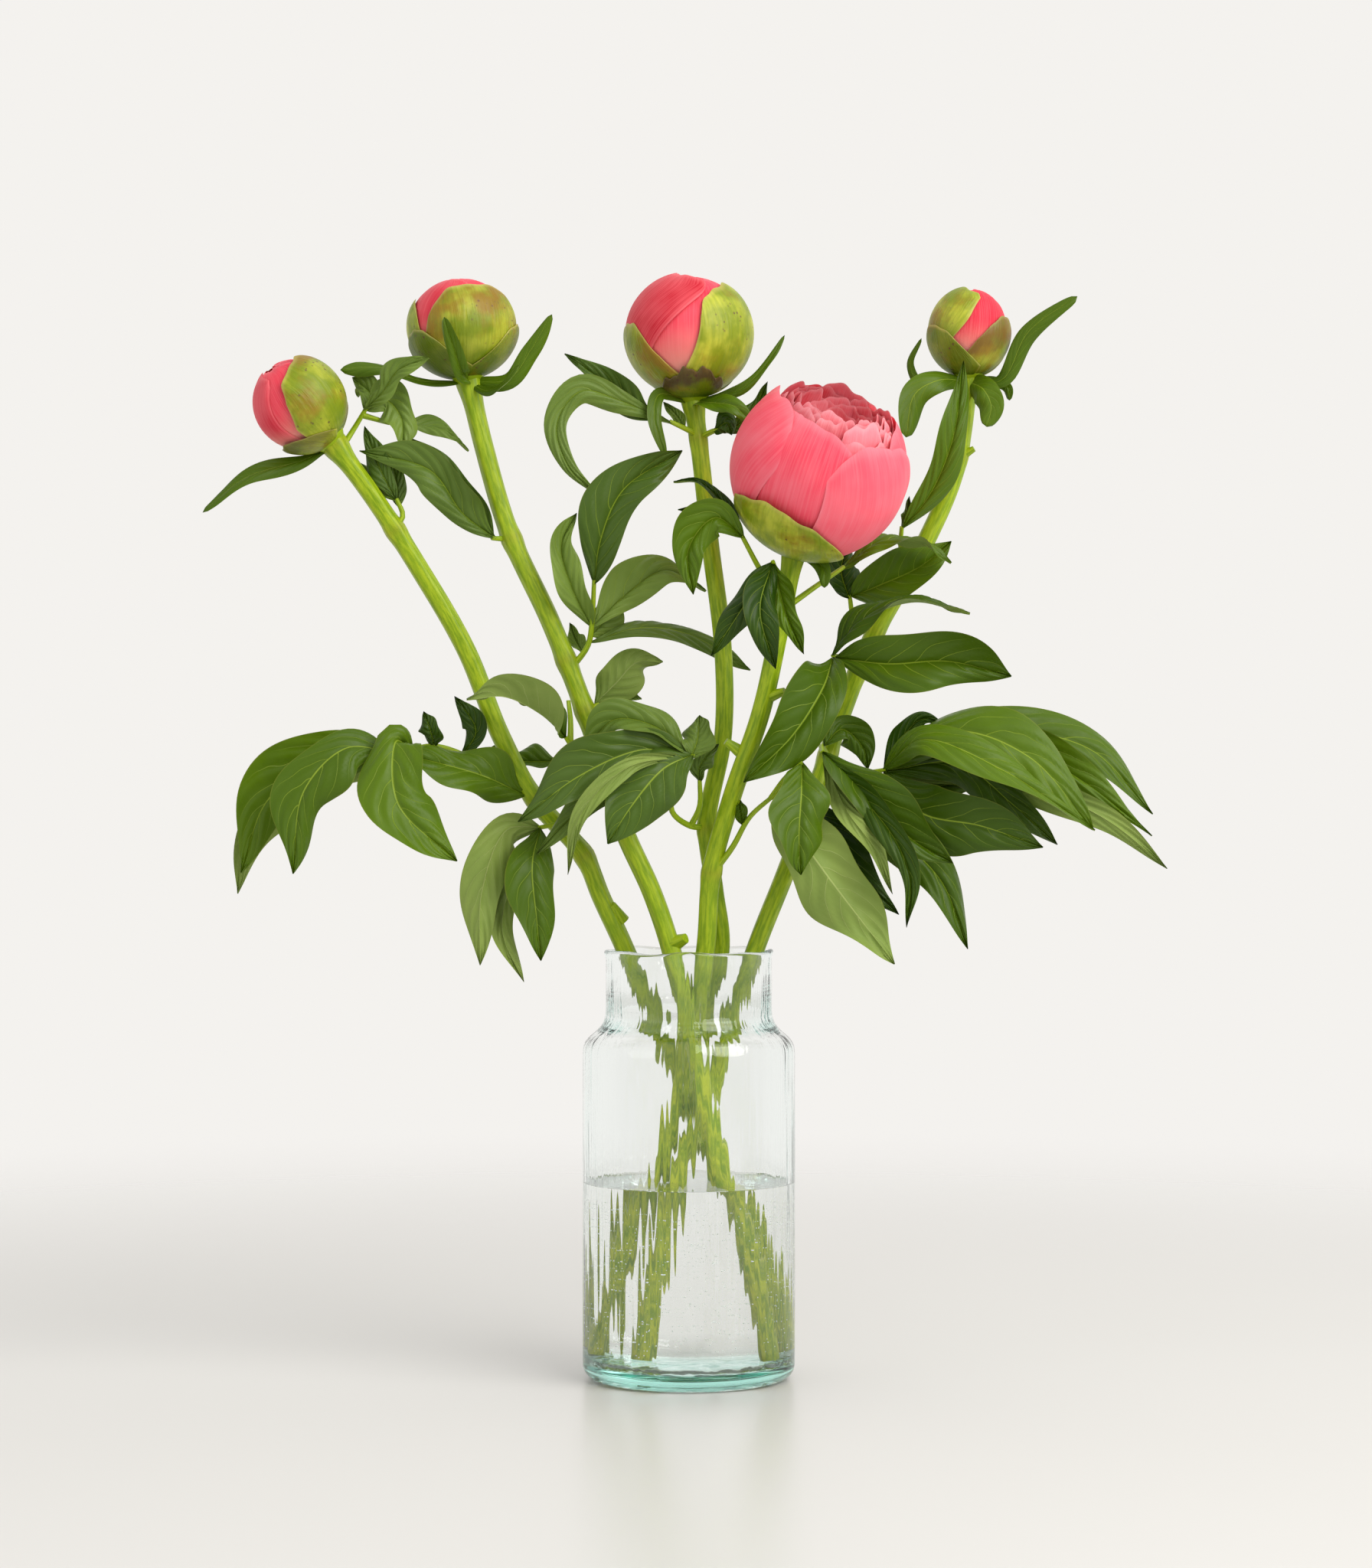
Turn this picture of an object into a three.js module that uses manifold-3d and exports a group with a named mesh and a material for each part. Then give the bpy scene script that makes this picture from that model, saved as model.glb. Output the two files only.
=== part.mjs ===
// Five cut peonies in a glass bottle vase with water: four buds and one half-open bloom.
// Millimetres, +Z up. The origin is the centre of the vase's flat foot; -Y is the arrangement's front.
// A stem, a leaf with all its leaflets, a calyx with its bracts, a sepal and a petal are each one solid.

import * as THREE from 'three';
import { mergeVertices } from 'three/addons/utils/BufferGeometryUtils.js';
import Module from 'manifold-3d';

const wasm = await Module();
wasm.setup();

// ---------------------------------------------------------------- driving dimensions

const GAP = 0.3;            // clearance between touching pieces
const TOLERANCE = 0.12;     // slivers finer than this are smoothed away after each cut
const VASE_HEIGHT = 200;
const BODY_RADIUS = 49.8;
const NECK_RADIUS = 38.9;
const RIM_RADIUS = 39.7;
const GLASS_WALL = 2.5;
const FLOOR_THICKNESS = 8;
const FOOT_ROUND = 7;
const SHOULDER_LOW = 152;   // where the straight body ends
const SHOULDER_HIGH = 172;  // where the neck begins
const WATER_LEVEL = 91.5;
const VASE_SEGMENTS = 32;

const STEM_SIDES = 8;
const STEM_STEPS = 15;
const STALK_RADIUS = 1.5;
const STALK_SIDES = 4;
const LEAF_THICKNESS = 0.9;
const PETAL_THICKNESS = 1.0;
const BUTTON_DROP = 2.5;     // from a flower's lowest petals down to the middle of its calyx
const FOLD = 16;            // degrees that each half of a blade rises from the midrib

// ---------------------------------------------------------------- solids

const vec = (p) => new THREE.Vector3(p[0], p[1], p[2]);
const rad = THREE.MathUtils.degToRad;
const curveThrough = (points) => new THREE.CatmullRomCurve3(points.map(vec));

// A closed three.js geometry as a manifold solid, turned to face outwards.
function solidFrom(geometry) {
  const bare = geometry.clone();
  bare.deleteAttribute('normal');
  bare.deleteAttribute('uv');
  const merged = mergeVertices(bare, 1e-4);
  const triVerts = new Uint32Array(merged.index.array);
  const vertProperties = merged.attributes.position.array;
  const solid = new wasm.Manifold(new wasm.Mesh({ numProp: 3, vertProperties, triVerts }));
  if (solid.volume() > 0) return solid;
  const flipped = triVerts.reverse();
  return new wasm.Manifold(new wasm.Mesh({ numProp: 3, vertProperties, triVerts: flipped }));
}

function geometryFrom(solid) {
  const mesh = solid.getMesh();
  const geometry = new THREE.BufferGeometry();
  geometry.setAttribute('position', new THREE.BufferAttribute(mesh.vertProperties, 3));
  geometry.setIndex(new THREE.BufferAttribute(mesh.triVerts, 1));
  geometry.computeVertexNormals();
  return geometry;
}

const joined = (solids) => solids.reduce((a, b) => a.add(b));

// A thin closed sheet: pointAt(u, v, side) gives its upper (+1) and lower (-1) surface.
function sheet(rows, columns, pointAt) {
  const positions = [];
  const index = [];
  const at = (side, i, j) => (side * (rows + 1) + i) * (columns + 1) + j;
  for (const side of [1, -1]) {
    for (let i = 0; i <= rows; i++) {
      for (let j = 0; j <= columns; j++) {
        positions.push(...pointAt(i / rows, (2 * j) / columns - 1, side).toArray());
      }
    }
  }
  const quad = (a, b, c, d) => index.push(a, b, c, a, c, d);
  for (let i = 0; i < rows; i++) {
    for (let j = 0; j < columns; j++) {
      quad(at(0, i, j), at(0, i + 1, j), at(0, i + 1, j + 1), at(0, i, j + 1));
      quad(at(1, i, j), at(1, i, j + 1), at(1, i + 1, j + 1), at(1, i + 1, j));
    }
    quad(at(0, i, 0), at(1, i, 0), at(1, i + 1, 0), at(0, i + 1, 0));
    quad(at(0, i, columns), at(0, i + 1, columns), at(1, i + 1, columns), at(1, i, columns));
  }
  for (let j = 0; j < columns; j++) {
    quad(at(0, 0, j), at(0, 0, j + 1), at(1, 0, j + 1), at(1, 0, j));
    quad(at(0, rows, j), at(1, rows, j), at(1, rows, j + 1), at(0, rows, j + 1));
  }
  const geometry = new THREE.BufferGeometry();
  geometry.setAttribute('position', new THREE.Float32BufferAttribute(positions, 3));
  geometry.setIndex(index);
  return solidFrom(geometry);
}

function tube(points, radius, sides, steps) {
  const section = new THREE.Shape();
  section.absarc(0, 0, radius, 0, 2 * Math.PI, false);
  return solidFrom(new THREE.ExtrudeGeometry(section, {
    extrudePath: curveThrough(points),
    curveSegments: sides / 2,
    steps,
  }));
}

// ---------------------------------------------------------------- leaves

// A leaflet's half width along its midrib, as a share of its greatest.
const leafOutline = (u) => Math.max(0.06, Math.sin(Math.PI * Math.pow(u, 0.9)) ** 0.85);

// A blade follows its midrib. face is the angle that its upper side turns from up (0) to the front (90).
function blade([midrib, halfWidth, face], grow) {
  const curve = curveThrough(midrib);
  const [faceBase, faceTip] = Array.isArray(face) ? face : [face, face];
  const half = LEAF_THICKNESS / 2 + grow;
  const rows = halfWidth > 5 ? 5 : 4;
  return sheet(rows, 2, (u, v, side) => {
    const along = curve.getTangentAt(u);
    const turn = rad(faceBase + u * (faceTip - faceBase));
    const up = new THREE.Vector3(0, -Math.sin(turn), Math.cos(turn));
    up.addScaledVector(along, -up.dot(along)).normalize();
    const across = new THREE.Vector3().crossVectors(along, up);
    const reach = v * (halfWidth * leafOutline(u) + grow);
    return curve.getPointAt(u)
      .addScaledVector(across, reach * Math.cos(rad(FOLD)))
      .addScaledVector(up, Math.abs(reach) * Math.sin(rad(FOLD)) + side * half);
  });
}

// A leaf is its stalks and its blades, grown together.
function leaf({ stalks, blades }, grow) {
  const stalkSolids = stalks.map((points) => tube(points, STALK_RADIUS + grow, STALK_SIDES, 3));
  return joined([...stalkSolids, ...blades.map((row) => blade(row, grow))]);
}

// ---------------------------------------------------------------- flowers

// A flower's own frame: +Z along its axis, and -Y turned to the front.
function flowerFrame({ centre, axis }) {
  const z = vec(axis).normalize();
  const front = new THREE.Vector3(0, -1, 0);
  const y = front.addScaledVector(z, -front.dot(z)).normalize().negate();
  const x = new THREE.Vector3().crossVectors(y, z);
  return new THREE.Matrix4().makeBasis(x, y, z).setPosition(vec(centre));
}

// A petal or sepal lies on the flower's ellipsoid, lifted off it: azimuth 0 is the front, 90 the right.
// from and to are degrees up from the bottom pole, and halfWidth is in millimetres.
function petal(flower, { azimuth, from, to, halfWidth, lift }, grow) {
  const frame = flowerFrame(flower);
  const [wide, tall] = flower.radii;
  return sheet(4, 4, (u, v, side) => {
    const polar = rad(from + u * (to - from));
    const outline = Math.sin(Math.PI * (0.1 + 0.82 * u)) ** 0.6;
    const reach = (halfWidth * outline + grow) / Math.max(wide * Math.sin(polar), 0.3 * wide);
    const turn = rad(azimuth) + v * Math.min(reach, 1.5);
    const off = lift + (side > 0 ? PETAL_THICKNESS + grow : -grow);
    const outwards = (wide + off) * Math.sin(polar);
    return new THREE.Vector3(
      outwards * Math.sin(turn),
      -outwards * Math.cos(turn),
      -(tall + off) * Math.cos(polar),
    ).applyMatrix4(frame);
  });
}

// The ball of furled petals that fills a flower.
function petalBall(flower, grow) {
  const [wide, tall] = flower.radii;
  const profile = [];
  const steps = 8;
  for (let i = 0; i <= steps; i++) {
    const polar = (Math.PI * i) / steps;
    const shrink = i === 0 || i === steps ? 0 : 1;
    profile.push(new THREE.Vector2(
      shrink * (wide - GAP + grow) * Math.sin(polar),
      -(tall - GAP + grow) * Math.cos(polar),
    ));
  }
  const geometry = new THREE.LatheGeometry(profile, 12);
  geometry.rotateX(Math.PI / 2);
  return solidFrom(geometry.applyMatrix4(flowerFrame(flower)));
}

// A point on the flower's axis, some way below its lowest petals.
function seatOf(flower, below) {
  return new THREE.Vector3(0, 0, -flower.radii[1] - below).applyMatrix4(flowerFrame(flower)).toArray();
}

// The calyx: a button under the flower, and the narrow bracts that grow from it.
function calyx({ radius, bracts }, flower, grow) {
  const button = new THREE.SphereGeometry(radius + grow, 8, 4);
  button.rotateX(Math.PI / 2);
  button.scale(1, 1, 0.5);
  button.applyMatrix4(flowerFrame(flower)).translate(...new THREE.Vector3()
    .subVectors(vec(seatOf(flower, BUTTON_DROP)), vec(flower.centre)).toArray());
  const start = seatOf(flower, BUTTON_DROP + 2);
  const blades = bracts.map(([midrib, halfWidth, face]) => blade([[start, ...midrib], halfWidth, face], grow));
  return joined([solidFrom(button), ...blades]);
}

// ---------------------------------------------------------------- vase and water

function vase() {
  const inner = BODY_RADIUS - GLASS_WALL;
  const neckInner = NECK_RADIUS - GLASS_WALL + 0.3;
  const outline = new THREE.Path();
  outline.moveTo(0, 0);
  outline.lineTo(BODY_RADIUS - FOOT_ROUND, 0);
  outline.absarc(BODY_RADIUS - FOOT_ROUND, FOOT_ROUND, FOOT_ROUND, -Math.PI / 2, 0, false);
  outline.lineTo(BODY_RADIUS, SHOULDER_LOW);
  outline.bezierCurveTo(
    BODY_RADIUS, SHOULDER_LOW + 10, NECK_RADIUS, SHOULDER_HIGH - 12, NECK_RADIUS, SHOULDER_HIGH);
  outline.lineTo(NECK_RADIUS, VASE_HEIGHT - 4);
  outline.lineTo(RIM_RADIUS, VASE_HEIGHT - 2);
  outline.lineTo(RIM_RADIUS - 1, VASE_HEIGHT);
  outline.lineTo(neckInner, VASE_HEIGHT - 0.5);
  outline.lineTo(neckInner, SHOULDER_HIGH);
  outline.bezierCurveTo(
    neckInner, SHOULDER_HIGH - 12, inner, SHOULDER_LOW + 10, inner, SHOULDER_LOW);
  outline.lineTo(inner, FLOOR_THICKNESS + 4);
  outline.lineTo(inner - 4, FLOOR_THICKNESS);
  outline.lineTo(0, FLOOR_THICKNESS);
  const geometry = new THREE.LatheGeometry(outline.getPoints(2), VASE_SEGMENTS);
  return solidFrom(geometry.rotateX(Math.PI / 2));
}

function water() {
  const radius = BODY_RADIUS - GLASS_WALL - GAP;
  const bottom = FLOOR_THICKNESS + GAP;
  const profile = [[0, bottom], [radius - 4.4, bottom], [radius, bottom + 4.4], [radius, WATER_LEVEL],
    [0, WATER_LEVEL]].map(([r, z]) => new THREE.Vector2(r, z));
  return solidFrom(new THREE.LatheGeometry(profile, VASE_SEGMENTS).rotateX(Math.PI / 2));
}

// ---------------------------------------------------------------- the five flowers

// A flower's centre, the way that it points, and the radii of its ball of furled petals: across, and along.
const flowers = {
  a: {
    centre: [-181, -14, 453.5], axis: [-0.65, -0.2, 0.73], radii: [20.3, 21],
    sepals: [
      { azimuth: 62, from: 12, to: 132, halfWidth: 26, lift: 1 },
      { azimuth: -58, from: 12, to: 64, halfWidth: 16, lift: 2.8 },
      { azimuth: 178, from: 12, to: 118, halfWidth: 18, lift: 2.8 },
    ],
    petals: [],
  },
  b: {
    centre: [-107, 14, 491.5], axis: [-0.12, 0, 1], radii: [24, 20.6],
    sepals: [
      { azimuth: 24, from: 12, to: 132, halfWidth: 25, lift: 1 },
      { azimuth: -84, from: 14, to: 122, halfWidth: 15, lift: 1 },
      { azimuth: -44, from: 12, to: 82, halfWidth: 12, lift: 2.8 },
      { azimuth: 84, from: 12, to: 78, halfWidth: 12, lift: 2.8 },
      { azimuth: 168, from: 14, to: 120, halfWidth: 20, lift: 2.8 },
    ],
    petals: [],
  },
  c: {
    centre: [0, 12, 488], axis: [-0.06, -0.08, 1], radii: [28.6, 26.4],
    sepals: [
      { azimuth: 66, from: 12, to: 136, halfWidth: 27, lift: 1 },
      { azimuth: -72, from: 12, to: 98, halfWidth: 20, lift: 1 },
      { azimuth: 2, from: 12, to: 46, halfWidth: 14, lift: 2.8 },
      { azimuth: 178, from: 12, to: 112, halfWidth: 22, lift: 2.8 },
    ],
    petals: [],
  },
  d: {
    centre: [60, -44, 423], axis: [0.28, -0.35, 0.9], radii: [36.4, 38],
    sepals: [{ azimuth: -22, from: 16, to: 62, halfWidth: 28, lift: 6.4 }],
    petals: [
      { azimuth: 46, from: 14, to: 122, halfWidth: 30, lift: 4.6 },
      { azimuth: -16, from: 14, to: 130, halfWidth: 30, lift: 2.8 },
      { azimuth: -86, from: 14, to: 136, halfWidth: 32, lift: 4.6 },
      { azimuth: 100, from: 14, to: 136, halfWidth: 26, lift: 2.8 },
      { azimuth: 158, from: 14, to: 138, halfWidth: 30, lift: 4.6 },
      { azimuth: -150, from: 14, to: 138, halfWidth: 25, lift: 2.8 },
    ],
  },
  e: {
    centre: [133, 25, 492], axis: [0.04, -0.05, 1], radii: [17.8, 19.4],
    sepals: [
      { azimuth: -62, from: 14, to: 92, halfWidth: 15, lift: 2.8 },
      { azimuth: 56, from: 14, to: 102, halfWidth: 15, lift: 1 },
      { azimuth: -70, from: 78, to: 162, halfWidth: 18, lift: 1 },
      { azimuth: 172, from: 14, to: 138, halfWidth: 18, lift: 2.8 },
    ],
    petals: [],
  },
};

// ---------------------------------------------------------------- the five stems

// Each route runs from the cut end near the vase's floor up to the flower, whose seat is its last point.
const stems = {
  a: { radius: 4.4, route: [[33, 15, 9], [22, 16, 60], [8, 15, 108], [-10, 11, 150], [-30, 6, 200],
    [-41, 5, 224], [-50, 5, 245], [-72, 2, 270], [-88, -1, 300], [-104, -4, 340], [-127, -7, 380],
    [-147, -9, 411]] },
  b: { radius: 4.5, route: [[33, -14, 9], [25, -15, 55], [14, -15, 100], [3, -14, 150], [-8, -12, 200],
    [-17, -12, 227], [-30, -12, 256], [-46, -6, 305], [-64, -2, 352], [-84, 4, 395], [-96, 10, 435]] },
  c: { radius: 4.1, route: [[-26, 24, 9], [-20, 25, 60], [-10, 25, 108], [4, 21, 155], [15, 8, 200],
    [12, 3, 228], [8.5, 2, 258], [16, 3, 300], [16, 5, 340], [10, 8, 390], [5, 11, 435]] },
  d: { radius: 4.3, route: [[-35, 0, 9], [-25, 2, 50], [-14, 3, 92], [-3, 1, 140], [7.5, -13, 200],
    [10.5, -16, 237], [20, -20, 272], [33, -25, 310], [41, -28, 346]] },
  e: { radius: 4.3, route: [[-18, -12, 9], [-12, -9, 50], [-4, -4, 95], [12, 2, 140], [31, 1, 200],
    [45, 6, 235], [60, 13, 275], [72, 18, 310], [86, 20, 345], [110, 22, 388], [125, 24, 422],
    [130, 25, 446]] },
};

// ---------------------------------------------------------------- calyxes and their bracts

// Each bract: [midrib points after its root in the calyx, half width, face angle or [at root, at tip]].
const calyxes = {
  a: { radius: 6.5, bracts: [
    [[[-178, -8, 428], [-205, -14, 419], [-225, -16, 403]], 4, 40],
  ] },
  b: { radius: 7, bracts: [
    [[[-125, 8, 466], [-145, 4, 472], [-163, 2, 471]], 4, 45],
    [[[-104, -4, 462], [-108, -16, 474], [-116, -18, 496]], 3, 85],
    [[[-84, 6, 467], [-74, 4, 480], [-64, 2, 497]], 4, 60],
    [[[-94, 2, 461], [-86, -6, 464], [-79, -9, 472]], 2.6, 50],
  ] },
  c: { radius: 7, bracts: [
    [[[-14, 0, 459], [-16, -6, 448], [-11, -6, 430]], 3.6, 85],
    [[[24, 6, 462], [38, 6, 476], [45, 8, 488]], 2.4, 60],
    [[[13, 0, 455], [21, -6, 453], [28, -6, 447]], 6, 70],
  ] },
  d: { radius: 7, bracts: [
    [[[58, -32, 380], [62, -36, 374], [62, -37, 367]], 3.6, 85],
  ] },
  e: { radius: 6, bracts: [
    [[[148, 20, 468], [160, 16, 490], [183, 14, 507]], 4.2, 60],
    [[[117, 12, 467], [106, 9, 460], [102, 8, 440]], 6.5, 80],
    [[[112, 26, 465], [105, 24, 476], [110, 20, 488]], 1.8, 60],
    [[[139, 10, 462], [142, 9, 455], [140, 9, 445]], 6.5, 85],
    [[[146, 26, 468], [151, 24, 465], [152, 24, 459]], 2.6, 80],
  ] },
};

const leaves = {
  // on stem a
  a_low: { stalks: [[[-72, 2, 270], [-94, 0, 285], [-118, -8, 295], [-137, -12, 291]]], blades: [
    [[[-76, -1, 272], [-95, -12, 281], [-115, -17, 287], [-137, -18, 292]], 11, 60],
    [[[-134, -12, 291], [-158, -22, 294], [-177, -28, 274], [-182, -28, 236]], 12, [40, 80]],
    [[[-135, -12, 291], [-166, -4, 291], [-196, -6, 270], [-208, -10, 236]], 13, 75],
    [[[-134, -11, 291], [-168, 8, 286], [-202, 6, 260], [-211, 2, 226]], 10, -110],
    [[[-128, -11, 293], [-135, -24, 297], [-133, -34, 268], [-106, -36, 242]], 14, 85],
    [[[-118, -8, 294], [-120, -14, 303], [-123, -12, 311]], 4.5, 80],
    [[[-106, -4, 290], [-99, -8, 302], [-104, -10, 312], [-109, -8, 318]], 5, 70],
  ] },
  a_drop: { stalks: [[[-50, 5, 246], [-58, -6, 258], [-70, -14, 257]], [[-57, -5, 257], [-50, -8, 261],
    [-46, -8, 267]]], blades: [
    [[[-68, -13, 257], [-84, -22, 256], [-95, -28, 228], [-96, -28, 194]], 10, -100],
    [[[-69, -14, 257], [-80, -22, 236], [-86, -24, 210], [-76, -24, 186]], 6.5, -95],
    [[[-69, -14, 257], [-72, -28, 240], [-70, -30, 216], [-68, -28, 196]], 10, 85],
    [[[-46, -8, 264], [-51, -2, 274], [-58, 2, 283]], 5, 80],
  ] },
  a_fan: { stalks: [[[-137, -9, 396], [-133, -8, 402], [-136, -8, 410]]], blades: [
    [[[-136, -8, 409], [-144, -8, 425], [-151, -6, 444]], 5, 80],
    [[[-136, -8, 409], [-149, -2, 421], [-162, 2, 429]], 4.5, 70],
    [[[-135, -8, 406], [-137, 0, 420], [-140, 2, 435]], 4.5, 90],
  ] },
  a_top: { stalks: [[[-162, -10, 432], [-155, -6, 444], [-150, -8, 452]], [[-152, -7, 449],
    [-140, 0, 446]]], blades: [
    [[[-151, -8, 451], [-142, -14, 459], [-134, -18, 469], [-120, -20, 474]], 5.5, 60],
    [[[-151, -7, 451], [-149, 4, 460], [-158, 8, 468]], 6, 60],
    [[[-150, -7, 451], [-141, -4, 456], [-134, -5, 448], [-133, -7, 433]], 8, 75],
    [[[-142, -1, 446], [-128, 4, 445], [-115, 5, 443], [-103, 2, 433]], 4, 30],
  ] },
  // on stem b
  b_single: { stalks: [[[-84, 4, 392], [-92, -2, 392]]], blades: [
    [[[-90, -1, 392], [-105, -8, 403], [-120, -10, 423], [-153, -10, 432]], 9, 70],
    [[[-91, -1, 392], [-108, 2, 414], [-122, 4, 430], [-133, 4, 441]], 7, 60],
  ] },
  b_tall: { stalks: [[[-55, -4, 331], [-47, -6, 342], [-45, -9, 354], [-44, -11, 372]]], blades: [
    [[[-44, -11, 370], [-41, -14, 390], [-30, -15, 414], [-3, -12, 432]], 12.5, 80],
    [[[-45, -8, 350], [-54, -13, 368], [-59, -14, 388], [-52, -12, 403]], 7.5, 75],
    [[[-49, -5, 338], [-53, 6, 345], [-56, 8, 353]], 4, 80],
    [[[-46, -7, 346], [-38, 2, 356], [-35, 6, 369]], 7, 80],
    [[[-45, -8, 350], [-30, -2, 365], [-12, 2, 377], [8, 14, 368]], 9, 45],
    [[[-46, -6, 343], [-25, -2, 350], [0, 14, 348], [29, 20, 331]], 8, 55],
  ] },
  b_side: { stalks: [[[-48, -6, 310], [-42, -5, 315]]], blades: [
    [[[-44, -5, 314], [-34, -9, 324], [-24, -11, 334], [-12, -11, 334]], 10, 60],
    [[[-44, -5, 314], [-34, 0, 319], [-22, 0, 317]], 5, 60],
  ] },
  b_low: { stalks: [[[-37, -9, 278], [-50, -14, 288], [-57, -18, 299]], [[-55, -16, 296], [-55, -13, 307],
    [-56, -11, 316]], [[-49, -14, 287], [-55, -2, 288], [-62, 12, 288]]], blades: [
    [[[-57, -18, 299], [-68, -26, 310], [-85, -31, 318], [-102, -31, 316]], 14, 70],
    [[[-60, 12, 288], [-76, 14, 288], [-100, 14, 289]], 9, 60],
  ] },
  // on stem c
  c_front: { stalks: [[[8.5, 2, 257], [0, -6, 258], [-8, -14, 265], [-4, -24, 282], [2, -28, 291]],
    [[1, -5, 258], [5, -9, 267], [5, -9, 279]]],
    blades: [
      [[[5, -9, 278], [5, -10, 285], [9, -10, 291], [14, -10, 296]], 4, 85],
      [[[2, -28, 291], [-12, -38, 284], [-27, -43, 266], [-37, -43, 250]], 14, 80],
      [[[1, -27, 289], [4, -24, 298], [5, -20, 309]], 7, 85],
      [[[0, -27, 291], [-16, -27, 304], [-34, -28, 307], [-49, -26, 292]], 10, 60],
      [[[0, -27, 291], [-22, -34, 293], [-50, -40, 281], [-78, -40, 260]], 12, 75],
      [[[0, -27, 290], [-30, -26, 280], [-54, -29, 262], [-70, -29, 245]], 8, 80],
      [[[0, -28, 290], [-28, -48, 285], [-49, -50, 264], [-55, -48, 236]], 4.5, -70],
    ] },
  c_curl: { stalks: [[[5, 11, 441], [-2, 6, 444], [-9, 3, 447]]], blades: [
    [[[-8, 3, 446], [-25, 0, 452], [-42, -2, 467], [-58, -2, 478]], 6.5, 60],
    [[[-8, 3, 446], [-32, -6, 456], [-50, -10, 460], [-61, -12, 445], [-56, -14, 425], [-41, -14, 410]],
      5.5, [50, 85]],
    [[[-2, 6, 444], [-6, 10, 451], [-12, 13, 457]], 3, 80],
  ] },
  c_right: { stalks: [[[5, 11, 440], [12, 6, 443], [20, 4, 444]]], blades: [
    [[[14, 5, 443], [24, 6, 446], [32, 6, 455], [37, 6, 466]], 4, 80],
    [[[12, 6, 443], [18, -1, 446], [20, -3, 440]], 5, 80],
  ] },
  // on stem d
  d_left: { stalks: [[[43, -29, 360], [33, -42, 374], [24, -50, 390]]], blades: [
    [[[25, -50, 389], [12, -54, 398], [0, -55, 384], [2, -55, 363]], 9, 75],
    [[[24, -49, 389], [14, -44, 407], [4, -42, 415], [-7, -41, 415]], 3.6, 50],
    [[[24.3, -49.4, 389.3], [12, -36, 396], [4, -34, 402], [-5, -33, 403]], 3.5, 70],
  ] },
  d_three: { stalks: [[[43, -29, 357], [41, -42, 370], [38, -54, 378]]], blades: [
    [[[38, -53, 378], [27, -60, 361], [10, -60, 335]], 6.5, 85],
    [[[38, -53, 378], [32, -66, 355], [39, -66, 329]], 8, 85],
    [[[38, -53, 378], [44, -58, 354], [52, -56, 336]], 6, 85],
  ] },
  d_right: { stalks: [[[43, -29, 357], [58, -22, 368], [72, -12, 378]]], blades: [
    [[[71, -12, 377], [89, -10, 390], [108, -8, 390], [122, -8, 380]], 8, 25],
  ] },
  d_low: { stalks: [[[11, -17, 236], [20, -20, 248], [28, -22, 262], [39, -25, 272]], [[38, -25, 271],
    [45, -34, 281], [52, -37, 287]]], blades: [
    [[[25, -21, 258], [24, -22, 264], [23, -20, 271]], 3, 80],
    [[[39, -25, 271], [54, -34, 248], [74, -39, 221], [94, -39, 195]], 14, -100],
    [[[38, -24, 271], [64, -22, 256], [80, -22, 234], [97, -20, 217]], 9, 80],
    [[[52, -37, 287], [51, -48, 270], [50, -50, 252], [51, -48, 236]], 12, 85],
  ] },
  // on stem e
  e_fan: { stalks: [[[66, 15, 290], [62, 0, 295], [62, -14, 292]]], blades: [
    [[[62, -14, 292], [80, -27, 276], [101, -33, 253], [121, -33, 241]], 12, 70],
    [[[63, -2, 295], [72, 4, 303], [82, 6, 294], [84, 6, 284]], 7, 70],
    [[[62, -14, 291.5], [72, -32, 266], [86, -38, 246], [93, -40, 227]], 4.5, -80],
    [[[62, -14, 291], [94, -42, 252], [101, -46, 232], [99, -46, 212]], 6.5, 85],
    [[[62, -13.5, 291.5], [94, -16, 256], [117, -18, 232], [129, -18, 201]], 11, 80],
  ] },
  e_far: { stalks: [[[60, 13, 276], [76, 4, 281], [92, -2, 284]]], blades: [
    [[[91, -2, 283], [108, -10, 264], [135, -16, 258], [164, -16, 248]], 13, 80],
    [[[91, -2, 284], [110, 6, 275], [126, 10, 278], [140, 12, 277]], 11, 80],
    [[[91, -2, 284], [108, -18, 298], [144, -29, 284], [186, -34, 256]], 9.5, 50],
    [[[91, -1, 284], [100, 8, 299], [110, 10, 308], [122, 10, 304]], 5, 70],
    [[[91, -2, 284], [122, -5, 302], [158, -12, 290], [187, -18, 256]], 14, 65],
    [[[91, -2, 283], [125, -4, 287], [151, -2, 268], [172, -2, 249]], 9, 80],
    [[[91, -1, 284], [148, 10, 299], [184, 6, 279], [216, 2, 253]], 10, 60],
    [[[91, 0, 284], [146, 24, 302], [190, 24, 294], [219, 18, 263]], 13, 65],
    [[[91, -1, 283], [150, 12, 282], [195, 14, 262], [223, 12, 238]], 6, -80],
  ] },
  e_big: { stalks: [[[80, 19, 331], [74, 6, 336], [67, -8, 337]]], blades: [
    [[[67, -8, 337], [80, -14, 353], [104, -18, 362], [130, -18, 356]], 8.5, 25],
    [[[68, -7, 336], [92, -16, 333], [120, -20, 334], [149, -20, 327]], 15, 80],
    [[[67, -8, 336], [61, -28, 320], [47, -36, 299], [25, -38, 278]], 14, 85],
  ] },
  e_back: { stalks: [[[88, 20, 349], [79, 24, 354], [76, 22, 367]]], blades: [
    [[[76, 22, 365], [72, 18, 378], [75, 16, 391]], 8, 85],
    [[[77, 22, 366], [90, 12, 371], [108, 6, 379], [123, 4, 391]], 12, 80],
  ] },
  e_long: { stalks: [[[106, 22, 381], [100, 14, 388], [100, 8, 398]]], blades: [
    [[[100, 8, 397], [113, 6, 413], [124, 4, 440], [129, 8, 476]], 7, 80],
    [[[100, 9, 397], [103, 14, 405], [104, 15, 413]], 2.5, 80],
  ] },
};

// ---------------------------------------------------------------- the pieces

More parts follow.
